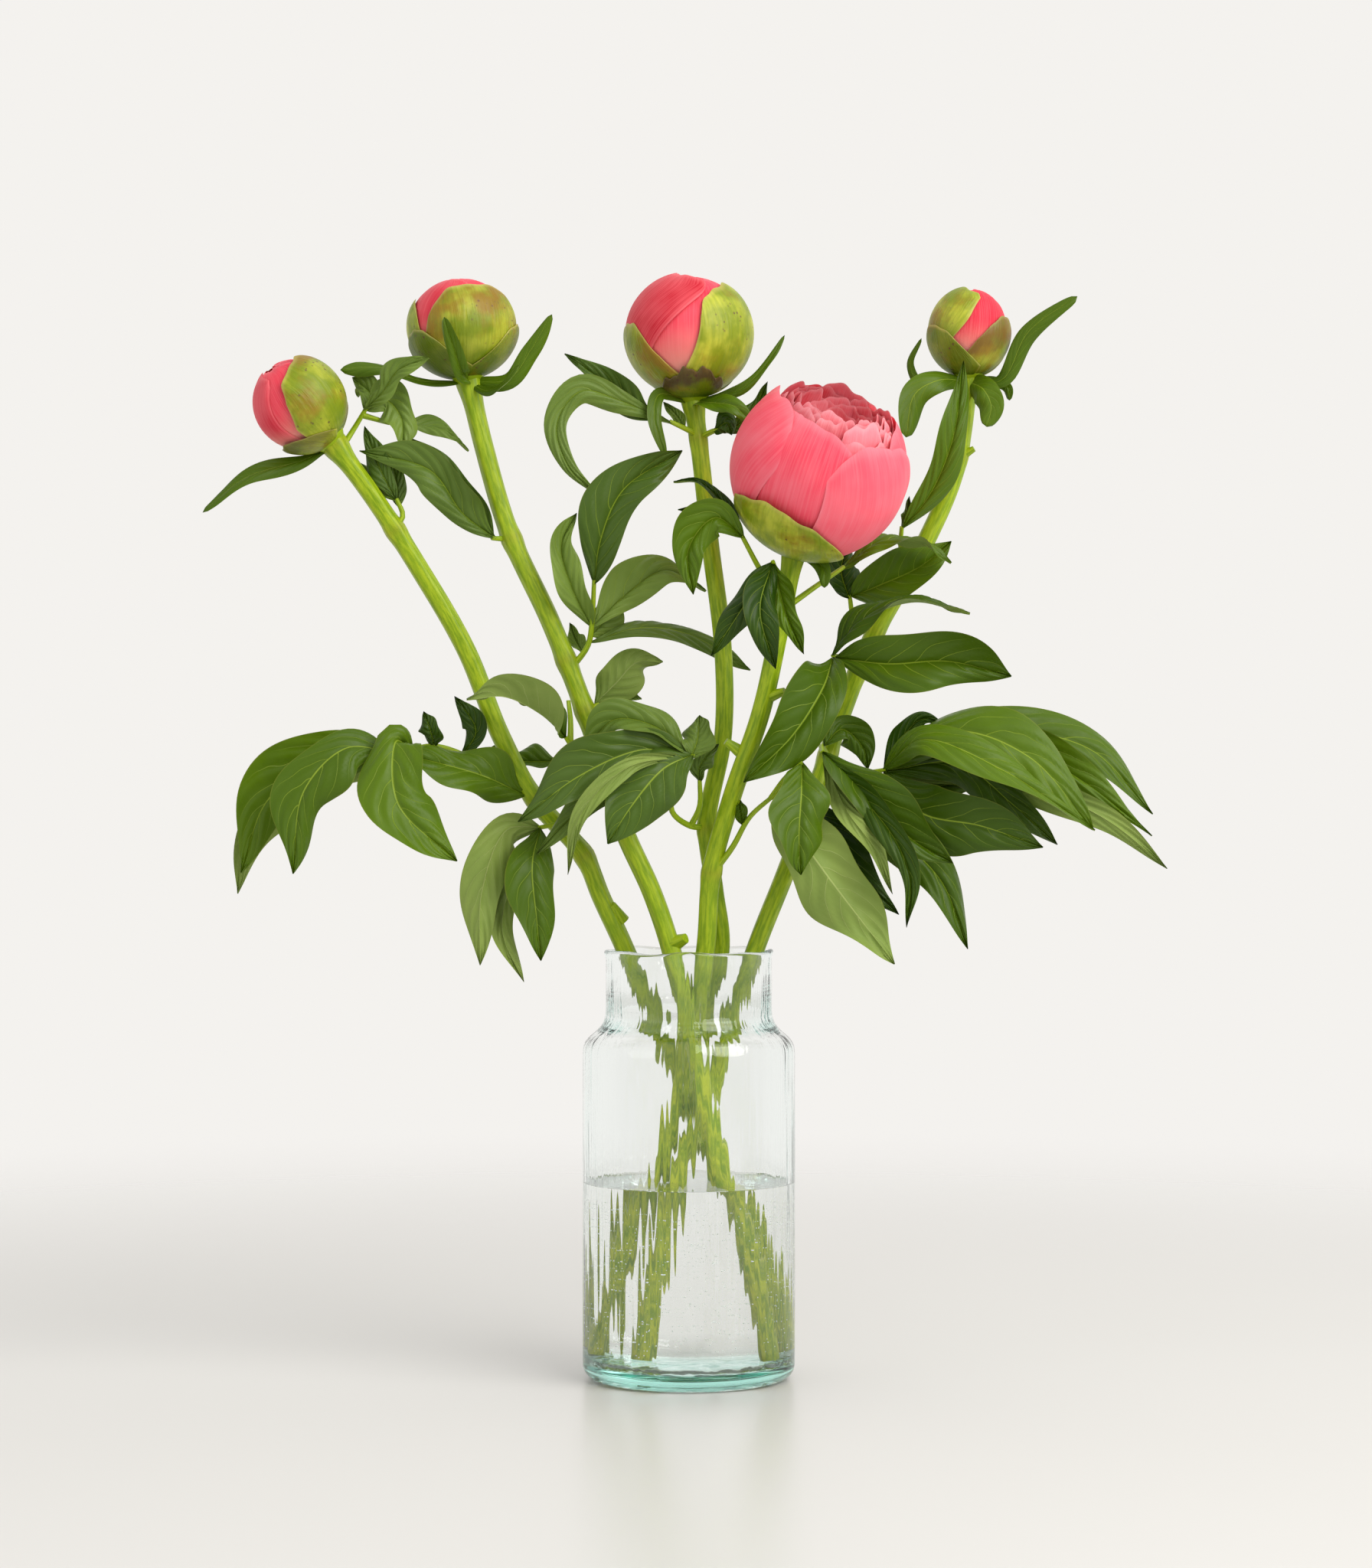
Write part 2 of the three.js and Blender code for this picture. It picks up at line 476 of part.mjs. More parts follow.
const colours = {
  glass: { color: 0xd8ebe2, roughness: 0.05, metalness: 0 },
  water: { color: 0xe4efe2, roughness: 0.02, metalness: 0 },
  stem: { color: 0x7e9a2a, roughness: 0.5, metalness: 0 },
  leaf: { color: 0x2f5a1e, roughness: 0.4, metalness: 0 },
  sepal: { color: 0x8f9d34, roughness: 0.45, metalness: 0 },
  petal: { color: 0xf0475c, roughness: 0.55, metalness: 0 },
};

// Every piece can be made at its own size, or grown all over to leave its clearance.
const pieces = [{ name: 'vase', look: 'glass', make: () => vase() }];
const add = (name, look, make) => pieces.push({ name, look, make });
const flowerName = (key) => (flowers[key].petals.length ? 'bloom' : `bud_${key}`);

for (const [key, row] of Object.entries(calyxes)) {
  add(`calyx_${key}`, 'sepal', (grow) => calyx(row, flowers[key], grow));
}
for (const [key, { route, radius }] of Object.entries(stems)) {
  const whole = [...route, seatOf(flowers[key], BUTTON_DROP)];
  add(`stem_${key}`, 'stem', (grow) => tube(whole, radius + grow, STEM_SIDES, STEM_STEPS));
}
for (const [key, flower] of Object.entries(flowers)) {
  const name = flowerName(key);
  add(`${name}_inner_petals`, 'petal', (grow) => petalBall(flower, grow));
  flower.petals.forEach((row, i) => add(`${name}_petal_${i + 1}`, 'petal',
    (grow) => petal(flower, row, grow)));
  flower.sepals.forEach((row, i) => add(`${name}_sepal_${i + 1}`, 'sepal',
    (grow) => petal(flower, row, grow)));
}
for (const [key, row] of Object.entries(leaves)) {
  add(`leaf_${key}`, 'leaf', (grow) => leaf(row, grow));
}
add('water', 'water', () => water());

const reaches = (a, b) => a.min.every((low, k) => low < b.max[k] && b.min[k] < a.max[k]);
const largest = (solid) => solid.decompose().sort((a, b) => b.volume() - a.volume())[0];

// Each piece is cut back from the ones before it, so that neighbours touch with a gap and never overlap.
const peonies = new THREE.Group();
const made = [];
for (const { name, look, make } of pieces) {
  let solid = make(0);
  for (const other of made) {
    if (reaches(solid.boundingBox(), other.box)) solid = solid.subtract(other.grown);
  }
  solid = largest(solid.simplify(TOLERANCE));
  const grown = make(GAP);
  made.push({ grown, box: grown.boundingBox() });
  const mesh = new THREE.Mesh(geometryFrom(solid), new THREE.MeshStandardMaterial(colours[look]));
  mesh.name = name;
  peonies.add(mesh);
}

export default peonies;
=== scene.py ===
import math
import random
import bmesh
import bpy
import numpy as np
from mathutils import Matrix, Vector


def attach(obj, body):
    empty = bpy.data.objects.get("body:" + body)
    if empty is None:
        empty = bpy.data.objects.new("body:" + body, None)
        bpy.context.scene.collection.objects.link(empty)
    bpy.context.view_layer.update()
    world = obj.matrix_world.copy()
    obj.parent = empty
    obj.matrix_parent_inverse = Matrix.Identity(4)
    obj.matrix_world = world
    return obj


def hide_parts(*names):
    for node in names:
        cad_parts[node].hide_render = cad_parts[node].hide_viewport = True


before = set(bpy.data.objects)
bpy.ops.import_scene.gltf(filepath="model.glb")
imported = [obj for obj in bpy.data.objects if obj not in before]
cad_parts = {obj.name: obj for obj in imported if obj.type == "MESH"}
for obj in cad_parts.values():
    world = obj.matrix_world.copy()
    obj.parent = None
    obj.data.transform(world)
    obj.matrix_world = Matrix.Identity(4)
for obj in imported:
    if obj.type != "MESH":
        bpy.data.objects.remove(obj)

mm = 0.001
rimAngle = math.radians(75)
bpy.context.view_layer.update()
print("frame loaded:", len(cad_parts), "nodes")


# Small node helpers, for shaders and for geometry.

def put(tree, kind, inputs=None, **settings):
    node = tree.nodes.new(kind)
    for key, value in settings.items():
        setattr(node, key, value)
    for key, value in (inputs or {}).items():
        if isinstance(value, bpy.types.NodeSocket):
            tree.links.new(value, node.inputs[key])
        else:
            node.inputs[key].default_value = value
    return node


# The tree that the first socket among the values belongs to.
def treeOf(*values):
    return next(value.id_data for value in values if isinstance(value, bpy.types.NodeSocket))


def calc(operation, a, b=0.0, c=0.0):
    return put(treeOf(a, b, c), "ShaderNodeMath", {0: a, 1: b, 2: c}, operation=operation).outputs[0]


def times(a, b):
    return calc("MULTIPLY", a, b)


def plus(a, b):
    return calc("ADD", a, b)


def minus(a, b):
    return calc("SUBTRACT", a, b)


def timesPlus(a, b, c):
    return calc("MULTIPLY_ADD", a, b, c)


def vecCalc(operation, a, b=(0, 0, 0), out=0):
    return put(a.id_data, "ShaderNodeVectorMath", {0: a, 1: b}, operation=operation).outputs[out]


def scaled(vector, factor):
    inputs = {0: vector, "Scale": factor}
    return put(vector.id_data, "ShaderNodeVectorMath", inputs, operation="SCALE").outputs[0]


def vectorOf(x=0.0, y=0.0, z=0.0):
    return put(treeOf(x, y, z), "ShaderNodeCombineXYZ", {0: x, 1: y, 2: z}).outputs[0]


def ramp(value, low, high, toLow=0.0, toHigh=1.0):
    inputs = {"Value": value, "From Min": low, "From Max": high, "To Min": toLow, "To Max": toHigh}
    return put(value.id_data, "ShaderNodeMapRange", inputs, interpolation_type="SMOOTHSTEP").outputs[0]


def blendColour(factor, a, b):
    return put(factor.id_data, "ShaderNodeMix", {0: factor, 6: a, 7: b}, data_type="RGBA").outputs[2]


# sRGB 0-255 to a linear colour.
def rgb(red, green, blue):
    return tuple((c / 255 / 12.92) if c <= 10 else ((c / 255 + 0.055) / 1.055) ** 2.4
                 for c in (red, green, blue)) + (1.0,)


def noiseOn(vector, scale, detail=2.0, roughness=0.5):
    inputs = {"Vector": vector, "Scale": scale, "Detail": detail, "Roughness": roughness}
    return put(vector.id_data, "ShaderNodeTexNoise", inputs).outputs[0]


def startMaterial(name, **fixed):
    material = bpy.data.materials.new(name)
    material.use_nodes = True
    tree = material.node_tree
    surface = tree.nodes["Principled BSDF"]
    for key, value in fixed.items():
        surface.inputs[key.replace("_", " ")].default_value = value
    return material, tree, surface


def objectPlace(tree):
    return put(tree, "ShaderNodeTexCoord").outputs["Object"]


def fact(tree, name, out="Fac"):
    return put(tree, "ShaderNodeAttribute", attribute_name=name).outputs[out]


# A piece's own UV map: along it, over it from 0 to 1, across it from -1 to 1, and away from its midline.
def sheetPlace(tree, uvName):
    uv = put(tree, "ShaderNodeUVMap", uv_map=uvName).outputs[0]
    along, side, _ = put(tree, "ShaderNodeSeparateXYZ", {0: uv}).outputs
    across = timesPlus(side, 2.0, -1.0)
    return along, side, across, calc("ABSOLUTE", across)


def feed(surface, label, value):
    surface.id_data.links.new(value, surface.inputs[label])


def bumpTo(surface, height, strength, distance):
    inputs = {"Height": height, "Strength": strength, "Distance": distance}
    feed(surface, "Normal", put(surface.id_data, "ShaderNodeBump", inputs).outputs[0])


# Materials.

leafSkin = {
    "deep": (rgb(36, 62, 2), rgb(84, 112, 8)), "pale": (rgb(72, 96, 32), rgb(122, 146, 62)),
    "blotch": rgb(64, 92, 8), "vein": rgb(150, 172, 54), "edge": rgb(128, 132, 48),
    "under": rgb(134, 154, 74), "underBlotch": rgb(106, 132, 56), "underVein": rgb(172, 186, 112),
    "veinPairs": 7.0, "sweep": 0.3, "sweepPower": 1.25, "wander": 0.16, "turn": 0.22, "sideVein": 0.7,
    "veinShare": 0.7, "blotchScale": 38.0, "blotchShare": 0.4, "edgeShare": 0.4,
    "sheen": (0.34, 0.5), "underSheen": (0.5, 0.62), "fine": 0.12, "pillow": 0.22,
    "bump": 0.5, "bumpDepth": 0.4 * mm,
}


# Side veins leave the midrib in turn and sweep towards the tip: the place between one vein and the next.
def veinPhase(along, across, reach, pairs, wander=0.0):
    sweep = times(calc("POWER", reach, leafSkin["sweepPower"]), leafSkin["sweep"])
    turn = times(calc("SIGN", across), leafSkin["turn"])
    return timesPlus(minus(along, minus(sweep, wander)), pairs, turn)


# An upper face has a dark and a fresh green, and the under face is one green.
def leafMaterial(name, greens=None):
    upper = greens is not None
    material, tree, surface = startMaterial(name, Specular_IOR_Level=0.22)
    along, _, across, reach = sheetPlace(tree, "leafUv")
    place = objectPlace(tree)
    wander = times(noiseOn(place, 60.0, 1.0), leafSkin["wander"])
    phase = veinPhase(along, across, reach, leafSkin["veinPairs"], wander)
    ridge = calc("ABSOLUTE", minus(calc("FRACT", phase), 0.5))
    sideVein = times(ramp(ridge, 0.04, 0.0), ramp(reach, 1.0, 0.5))
    midrib = ramp(plus(reach, times(along, 0.02)), 0.05, 0.02)
    veins = calc("MAXIMUM", midrib, times(sideVein, leafSkin["sideVein"]))
    blotch = times(ramp(noiseOn(place, leafSkin["blotchScale"], 3.0), 0.35, 0.7), leafSkin["blotchShare"])
    ground = blendColour(fact(tree, "shade"), *greens) if upper else leafSkin["under"]
    ground = blendColour(blotch, ground, leafSkin["blotch" if upper else "underBlotch"])
    vein = leafSkin["vein" if upper else "underVein"]
    colour = blendColour(times(veins, leafSkin["veinShare"]), ground, vein)
    edge = times(ramp(reach, 0.965, 0.995), leafSkin["edgeShare"])
    feed(surface, "Base Color", blendColour(edge, colour, leafSkin["edge"]))
    sheen = leafSkin["sheen" if upper else "underSheen"]
    feed(surface, "Roughness", ramp(noiseOn(place, 160.0), 0.3, 0.7, *sheen))
    # veins are sunk above and raised below
    fine = times(noiseOn(place, 900.0, 3.0), leafSkin["fine"])
    pillow = times(ramp(ridge, 0.0, 0.5), leafSkin["pillow"])
    height = minus(plus(fine, pillow), veins) if upper else plus(fine, minus(veins, pillow))
    bumpTo(surface, height, leafSkin["bump"], leafSkin["bumpDepth"])
    return material


stemSkin = {
    "dark": rgb(112, 142, 0), "light": rgb(150, 174, 22), "patch": rgb(138, 166, 16), "patchShare": 0.3,
    "blush": rgb(132, 96, 30), "blushShare": 0.25,
    # painted light: the lighter, yellower streak colours and their heights for the stems behind the glass
    "paintedLightDark": rgb(140, 178, 0), "paintedLightPale": rgb(222, 232, 50), "paintedLightFrom": 200 * mm, "paintedLightTo": 86 * mm,
    "paintedLightLeast": 0.15, "bump": 0.35, "bumpDepth": 0.4 * mm,
}


def stemMaterial():
    material, tree, surface = startMaterial("stemSkin", Roughness=0.42, Specular_IOR_Level=0.3)
    grain = fact(tree, "grain", "Vector")
    place = objectPlace(tree)
    streak = ramp(noiseOn(grain, 3.2, 4.0, 0.65), 0.34, 0.66)
    patch = ramp(noiseOn(place, 22.0), 0.35, 0.68)
    colour = blendColour(streak, stemSkin["dark"], stemSkin["light"])
    colour = blendColour(times(patch, stemSkin["patchShare"]), colour, stemSkin["patch"])
    colour = blendColour(times(fact(tree, "blush"), stemSkin["blushShare"]), colour, stemSkin["blush"])
    # painted light: behind the glass the stems are painted lighter and yellower towards the water, in place
    # of the lamp light that the glass keeps from them
    height = put(tree, "ShaderNodeSeparateXYZ", {0: place}).outputs[2]
    paintedLight = ramp(height, stemSkin["paintedLightFrom"], stemSkin["paintedLightTo"], stemSkin["paintedLightLeast"], 1.0)
    paintedLightColour = blendColour(streak, stemSkin["paintedLightDark"], stemSkin["paintedLightPale"])
    feed(surface, "Base Color", blendColour(paintedLight, colour, paintedLightColour))
    bumpTo(surface, noiseOn(grain, 6.0, 3.0), stemSkin["bump"], stemSkin["bumpDepth"])
    return material


sepalSkin = {
    "green": rgb(132, 148, 14), "light": rgb(190, 194, 58), "stripe": rgb(104, 128, 10), "stripeShare": 0.4,
    "foot": rgb(88, 124, 10), "footShare": 0.75, "dark": rgb(72, 92, 6),
    "rust": rgb(142, 100, 10), "rustShare": 0.8,
    "speck": rgb(92, 52, 44), "speckScale": 330.0, "speckShare": 0.75,
    "rim": rgb(214, 196, 110), "rimShare": 0.4, "scorch": rgb(74, 40, 40),
    "bump": 0.3, "bumpDepth": 0.5 * mm,
}


def sepalMaterial():
    material, tree, surface = startMaterial("sepalSkin", Roughness=0.42, Specular_IOR_Level=0.35)
    along, side, _, reach = sheetPlace(tree, "petalUv")
    place = objectPlace(tree)
    drawn = vectorOf(times(along, 2.0), times(side, 16.0))
    stripes = ramp(noiseOn(drawn, 2.2, 3.0), 0.3, 0.7)
    cloud = ramp(noiseOn(place, 75.0, 3.0), 0.36, 0.66)
    rust = timesPlus(fact(tree, "tan"), 0.34, noiseOn(place, 48.0, 4.0, 0.6))
    cells = put(tree, "ShaderNodeTexVoronoi", {"Vector": place, "Scale": sepalSkin["speckScale"]})
    specks = cells.outputs["Distance"]
    where = ramp(noiseOn(place, 85.0), 0.5, 0.64)
    ragged = timesPlus(noiseOn(place, 120.0, 3.0), 0.9, along)
    colour = blendColour(cloud, sepalSkin["green"], sepalSkin["light"])
    for share, name in (
            (times(stripes, sepalSkin["stripeShare"]), "stripe"),
            (ramp(along, 0.5, 0.0, 0.0, sepalSkin["footShare"]), "foot"),
            (fact(tree, "shade"), "dark"),
            (times(ramp(rust, 0.52, 0.76), sepalSkin["rustShare"]), "rust"),
            (times(ramp(specks, 0.26, 0.12), times(where, sepalSkin["speckShare"])), "speck"),
            (times(ramp(calc("MAXIMUM", reach, along), 0.94, 1.0), sepalSkin["rimShare"]), "rim"),
            (times(fact(tree, "scorch"), ramp(ragged, 0.85, 1.25)), "scorch")):
        colour = blendColour(share, colour, sepalSkin[name])
    feed(surface, "Base Color", colour)
    bumpTo(surface, plus(stripes, times(cloud, 0.6)), sepalSkin["bump"], sepalSkin["bumpDepth"])
    return material


petalSkin = {
    "foot": rgb(255, 190, 170), "footShare": 0.8, "streaks": 60.0, "streakShare": 0.3, "broadShare": 0.3,
    "rimShare": 0.4, "bump": 0.22, "bumpDepth": 0.5 * mm,
}


# pale colours the streaks and the rim, and paleFoot says how far up the petal its pale foot reaches.
def petalMaterial(name, deep, mid, pale, paleFoot):
    material, tree, surface = startMaterial(
        name, Roughness=0.55, Specular_IOR_Level=0.22, Sheen_Weight=0.1, Sheen_Roughness=0.45,
        Sheen_Tint=(1.0, 0.5, 0.55, 1), Subsurface_Weight=0.15, Subsurface_Scale=0.002,
        Subsurface_Radius=(1.0, 0.35, 0.3))
    along, side, _, reach = sheetPlace(tree, "petalUv")
    shade = fact(tree, "shade")
    lines = vectorOf(times(along, 1.6), times(side, petalSkin["streaks"]), times(shade, 7.0))
    streak = ramp(noiseOn(lines, 1.7, 4.0, 0.6), 0.36, 0.68)
    broad = ramp(noiseOn(objectPlace(tree), 42.0), 0.35, 0.7)
    colour = blendColour(shade, deep, mid)
    colour = blendColour(times(streak, petalSkin["streakShare"]), colour, pale)
    colour = blendColour(times(broad, petalSkin["broadShare"]), colour, pale)
    foot = ramp(along, paleFoot, 0.25 * paleFoot, 0.0, petalSkin["footShare"])
    colour = blendColour(foot, colour, petalSkin["foot"])
    rim = ramp(calc("MAXIMUM", reach, along), 0.93, 1.0, 0.0, petalSkin["rimShare"])
    feed(surface, "Base Color", blendColour(rim, colour, pale))
    bumpTo(surface, noiseOn(lines, 2.6, 3.0), petalSkin["bump"], petalSkin["bumpDepth"])
    return material


white = (1, 1, 1, 1)
glassSkin = {
    "tint": (0.05, 0.8, 0.68, 1), "density": 9.0, "drawn": (1, 1, 0.06), "waveScale": 120.0,
    "bump": 0.25, "bumpDepth": 0.6 * mm,
}
waterSkin = {"waveScale": 30.0, "bump": 0.05, "bumpDepth": 0.5 * mm}
# painted glint: the bubbles' white and their faint glow
bubbleSkin = {"low": (0.9, 0.95, 0.92, 1), "paintedGlint": (0.92, 1.0, 0.94, 1), "paintedGlintStrength": 0.35}


def glassMaterial():
    material, tree, surface = startMaterial(
        "greenTintedGlass", Base_Color=white, Roughness=0.0, IOR=1.5, Transmission_Weight=1.0,
        Specular_IOR_Level=0.04)
    drawn = put(tree, "ShaderNodeMapping", {"Vector": objectPlace(tree), "Scale": glassSkin["drawn"]})
    waves = noiseOn(drawn.outputs[0], glassSkin["waveScale"])
    bumpTo(surface, waves, glassSkin["bump"], glassSkin["bumpDepth"])
    inside = {"Color": glassSkin["tint"], "Density": glassSkin["density"]}
    volume = put(tree, "ShaderNodeVolumeAbsorption", inside).outputs[0]
    tree.links.new(volume, tree.nodes["Material Output"].inputs["Volume"])
    return material


def waterMaterial():
    material, tree, surface = startMaterial(
        "stillWater", Base_Color=white, Roughness=0.0, IOR=1.333, Transmission_Weight=1.0,
        Specular_IOR_Level=0.1)
    waves = noiseOn(objectPlace(tree), waterSkin["waveScale"], 1.0)
    bumpTo(surface, waves, waterSkin["bump"], waterSkin["bumpDepth"])
    return material


def bubbleMaterial():
    # painted glint: a white, opaque and faintly glowing bead stands in for the light that an air bubble in
    # water catches
    material, tree, surface = startMaterial(
        "airBubble", Roughness=0.3, Emission_Color=bubbleSkin["paintedGlint"],
        Emission_Strength=bubbleSkin["paintedGlintStrength"])
    feed(surface, "Base Color", blendColour(noiseOn(objectPlace(tree), 200.0), bubbleSkin["low"], white))
    return material


looks = {
    "upper": leafMaterial("leafUpper", leafSkin["deep"]),
    "pale": leafMaterial("leafPale", leafSkin["pale"]),
    "under": leafMaterial("leafUnder"),
    "bract": leafMaterial("bractUpper", leafSkin["deep"]),
    "stem": stemMaterial(),
    "sepal": sepalMaterial(),
    "budPetal": petalMaterial("budPetal", rgb(196, 0, 36), rgb(244, 52, 80), rgb(255, 124, 132), 0.6),
    "bloomPetal": petalMaterial("bloomPetal", rgb(240, 52, 80), rgb(252, 88, 108), rgb(255, 140, 152), 0.26),
    # painted light and shade: the heart's pinks are lighter than the outer petals', in place of light
    # shining through the thin petals into the shaded cup, and its deep crimson is painted shade in the
    # hollow
    "heartPetal": petalMaterial("heartPetal", rgb(208, 6, 42), rgb(255, 116, 132), rgb(255, 176, 184), 0.2),
    "glass": glassMaterial(),
    "water": waterMaterial(),
    "bubble": bubbleMaterial(),
}
print("materials ready:", len(looks))


# Paths and meshes.

# How far each of a line's points is along it.
def runOf(points):
    return np.concatenate([[0], np.cumsum(np.linalg.norm(np.diff(points, axis=0), axis=1))])


def mixed(p, q, start, end, t):
    return (end - t) / (end - start) * p + (t - start) / (end - start) * q


# Evenly spaced points on a centripetal Catmull-Rom curve, in metres.
def smoothPath(points, count):
    knots = [np.array(p, float) for p in points]
    knots = [2 * knots[0] - knots[1]] + knots + [2 * knots[-1] - knots[-2]]
    dense = []
    for p0, p1, p2, p3 in zip(knots, knots[1:], knots[2:], knots[3:]):
        gaps = [max(np.linalg.norm(q - p), 1e-6) ** 0.5 for p, q in ((p0, p1), (p1, p2), (p2, p3))]
        t0, t1, t2, t3 = np.cumsum([0.0, *gaps])
        for t in np.linspace(t1, t2, 24, endpoint=False):
            a1, a2, a3 = mixed(p0, p1, t0, t1, t), mixed(p1, p2, t1, t2, t), mixed(p2, p3, t2, t3, t)
            dense.append(mixed(mixed(a1, a2, t0, t2, t), mixed(a2, a3, t1, t3, t), t1, t2, t))
    dense.append(knots[-2])
    dense = np.array(dense)
    steps = runOf(dense)
    at = np.linspace(0, steps[-1], count)
    return np.stack([np.interp(at, steps, dense[:, k]) for k in range(3)], axis=1) * mm


def tangentsOf(path):
    steps = np.gradient(path, axis=0)
    return steps / np.linalg.norm(steps, axis=1)[:, None]


# A mesh of open lines, with a float or vector fact stored on each of their points.
def lineMesh(name, lines, facts):
    points, edges = [], []
    for line in lines:
        first = len(points)
        points.extend(line.tolist())
        edges.extend((first + i, first + i + 1) for i in range(len(line) - 1))
    mesh = bpy.data.meshes.new(name)
    mesh.from_pydata(points, edges, [])
    for key, values in facts.items():
        values = np.concatenate(values)
        wide = values.ndim == 2
        layer = mesh.attributes.new(key, "FLOAT_VECTOR" if wide else "FLOAT", "POINT")
        layer.data.foreach_set("vector" if wide else "value", values.astype(np.float32).ravel())
    return mesh


# Runs a geometry tree on a mesh and keeps the result as a plain mesh.
def baked(name, source, group, values):
    holder = bpy.data.objects.new(name + "Maker", source)
    bpy.context.scene.collection.objects.link(holder)
    modifier = holder.modifiers.new("build", "NODES")
    modifier.node_group = group
    for item in group.interface.items_tree:
        if item.item_type == "SOCKET" and item.in_out == "INPUT" and item.name in values:
            modifier[item.identifier] = values[item.name]
    evaluated = holder.evaluated_get(bpy.context.evaluated_depsgraph_get())
    result = bpy.data.meshes.new_from_object(evaluated)
    holder.modifiers.remove(modifier)
    bpy.data.objects.remove(holder)
    result.name = name
    return result


# Joins meshes into one finished piece that stands for its CAD nodes.
def pieceFrom(name, meshes, nodes):
    materials = []
    work = bmesh.new()
    for mesh in meshes:
        shift = []
        for material in mesh.materials:
            if material not in materials:
                materials.append(material)
            shift.append(materials.index(material))
        before = len(work.faces)
        work.from_mesh(mesh)
        work.faces.ensure_lookup_table()
        for face in work.faces[before:]:
            face.material_index = shift[face.material_index] if shift else 0
    bmesh.ops.dissolve_degenerate(work, dist=1e-7, edges=work.edges[:])
    bmesh.ops.recalc_face_normals(work, faces=work.faces[:])
    for face in work.faces:
        face.smooth = True
    for edge in work.edges:
        edge.smooth = edge.calc_face_angle(0.0) < rimAngle  # a thin rim is a crease
    mesh = bpy.data.meshes.new(name)
    work.to_mesh(mesh)
    work.free()
    for material in materials:
        mesh.materials.append(material)
    piece = bpy.data.objects.new(name, mesh)
    bpy.context.scene.collection.objects.link(piece)
    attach(piece, "root")
    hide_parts(*nodes)


# Geometry trees.

def startTree(name, inputs):
    tree = bpy.data.node_groups.new(name, "GeometryNodeTree")
    tree.interface.new_socket("Geometry", in_out="INPUT", socket_type="NodeSocketGeometry")
    tree.interface.new_socket("Geometry", in_out="OUTPUT", socket_type="NodeSocketGeometry")
    for label, kind, value in inputs:
        socket = tree.interface.new_socket(label, in_out="INPUT", socket_type="NodeSocket" + kind)
        if value is not None:
            socket.default_value = value
    return tree, put(tree, "NodeGroupInput").outputs


# One step of a tree: the geometry goes into the node's first socket.
def step(geometry, kind, inputs=None, **settings):
    inputs = {0: geometry, **(inputs or {})}
    return put(geometry.id_data, "GeometryNode" + kind, inputs, **settings).outputs[0]


# Merges what touches, gives it its material where it still needs one, and ends the tree.
def endTree(tree, geometry, seam=None, skin=None):
    if seam:
        geometry = step(geometry, "MergeByDistance", {"Distance": seam})
    geometry = step(geometry, "RealizeInstances")
    if skin:
        geometry = step(geometry, "SetMaterial", {"Material": skin})
    tree.links.new(geometry, put(tree, "NodeGroupOutput").inputs[0])
    return tree


def named(tree, label, kind="FLOAT"):
    return put(tree, "GeometryNodeInputNamedAttribute", {"Name": label}, data_type=kind).outputs[0]


def stored(geometry, label, value, kind="FLOAT", domain="POINT"):
    inputs = {"Name": label, "Value": value}
    return step(geometry, "StoreNamedAttribute", inputs, data_type=kind, domain=domain)


def factorAlong(tree):
    return put(tree, "GeometryNodeSplineParameter").outputs["Factor"]


def circle(tree, sides, radius):
    return put(tree, "GeometryNodeCurvePrimitiveCircle", {"Resolution": sides, "Radius": radius}).outputs[0]


bladeLook = {
    "scallopShift": 1.7, "waveShift": 1.1, "wavePower": 2.0, "droopPower": 2.2, "midribReach": 0.16,
    "midribDepth": -1.2, "endTaper": 30.0, "seam": 0.004 * mm,
}


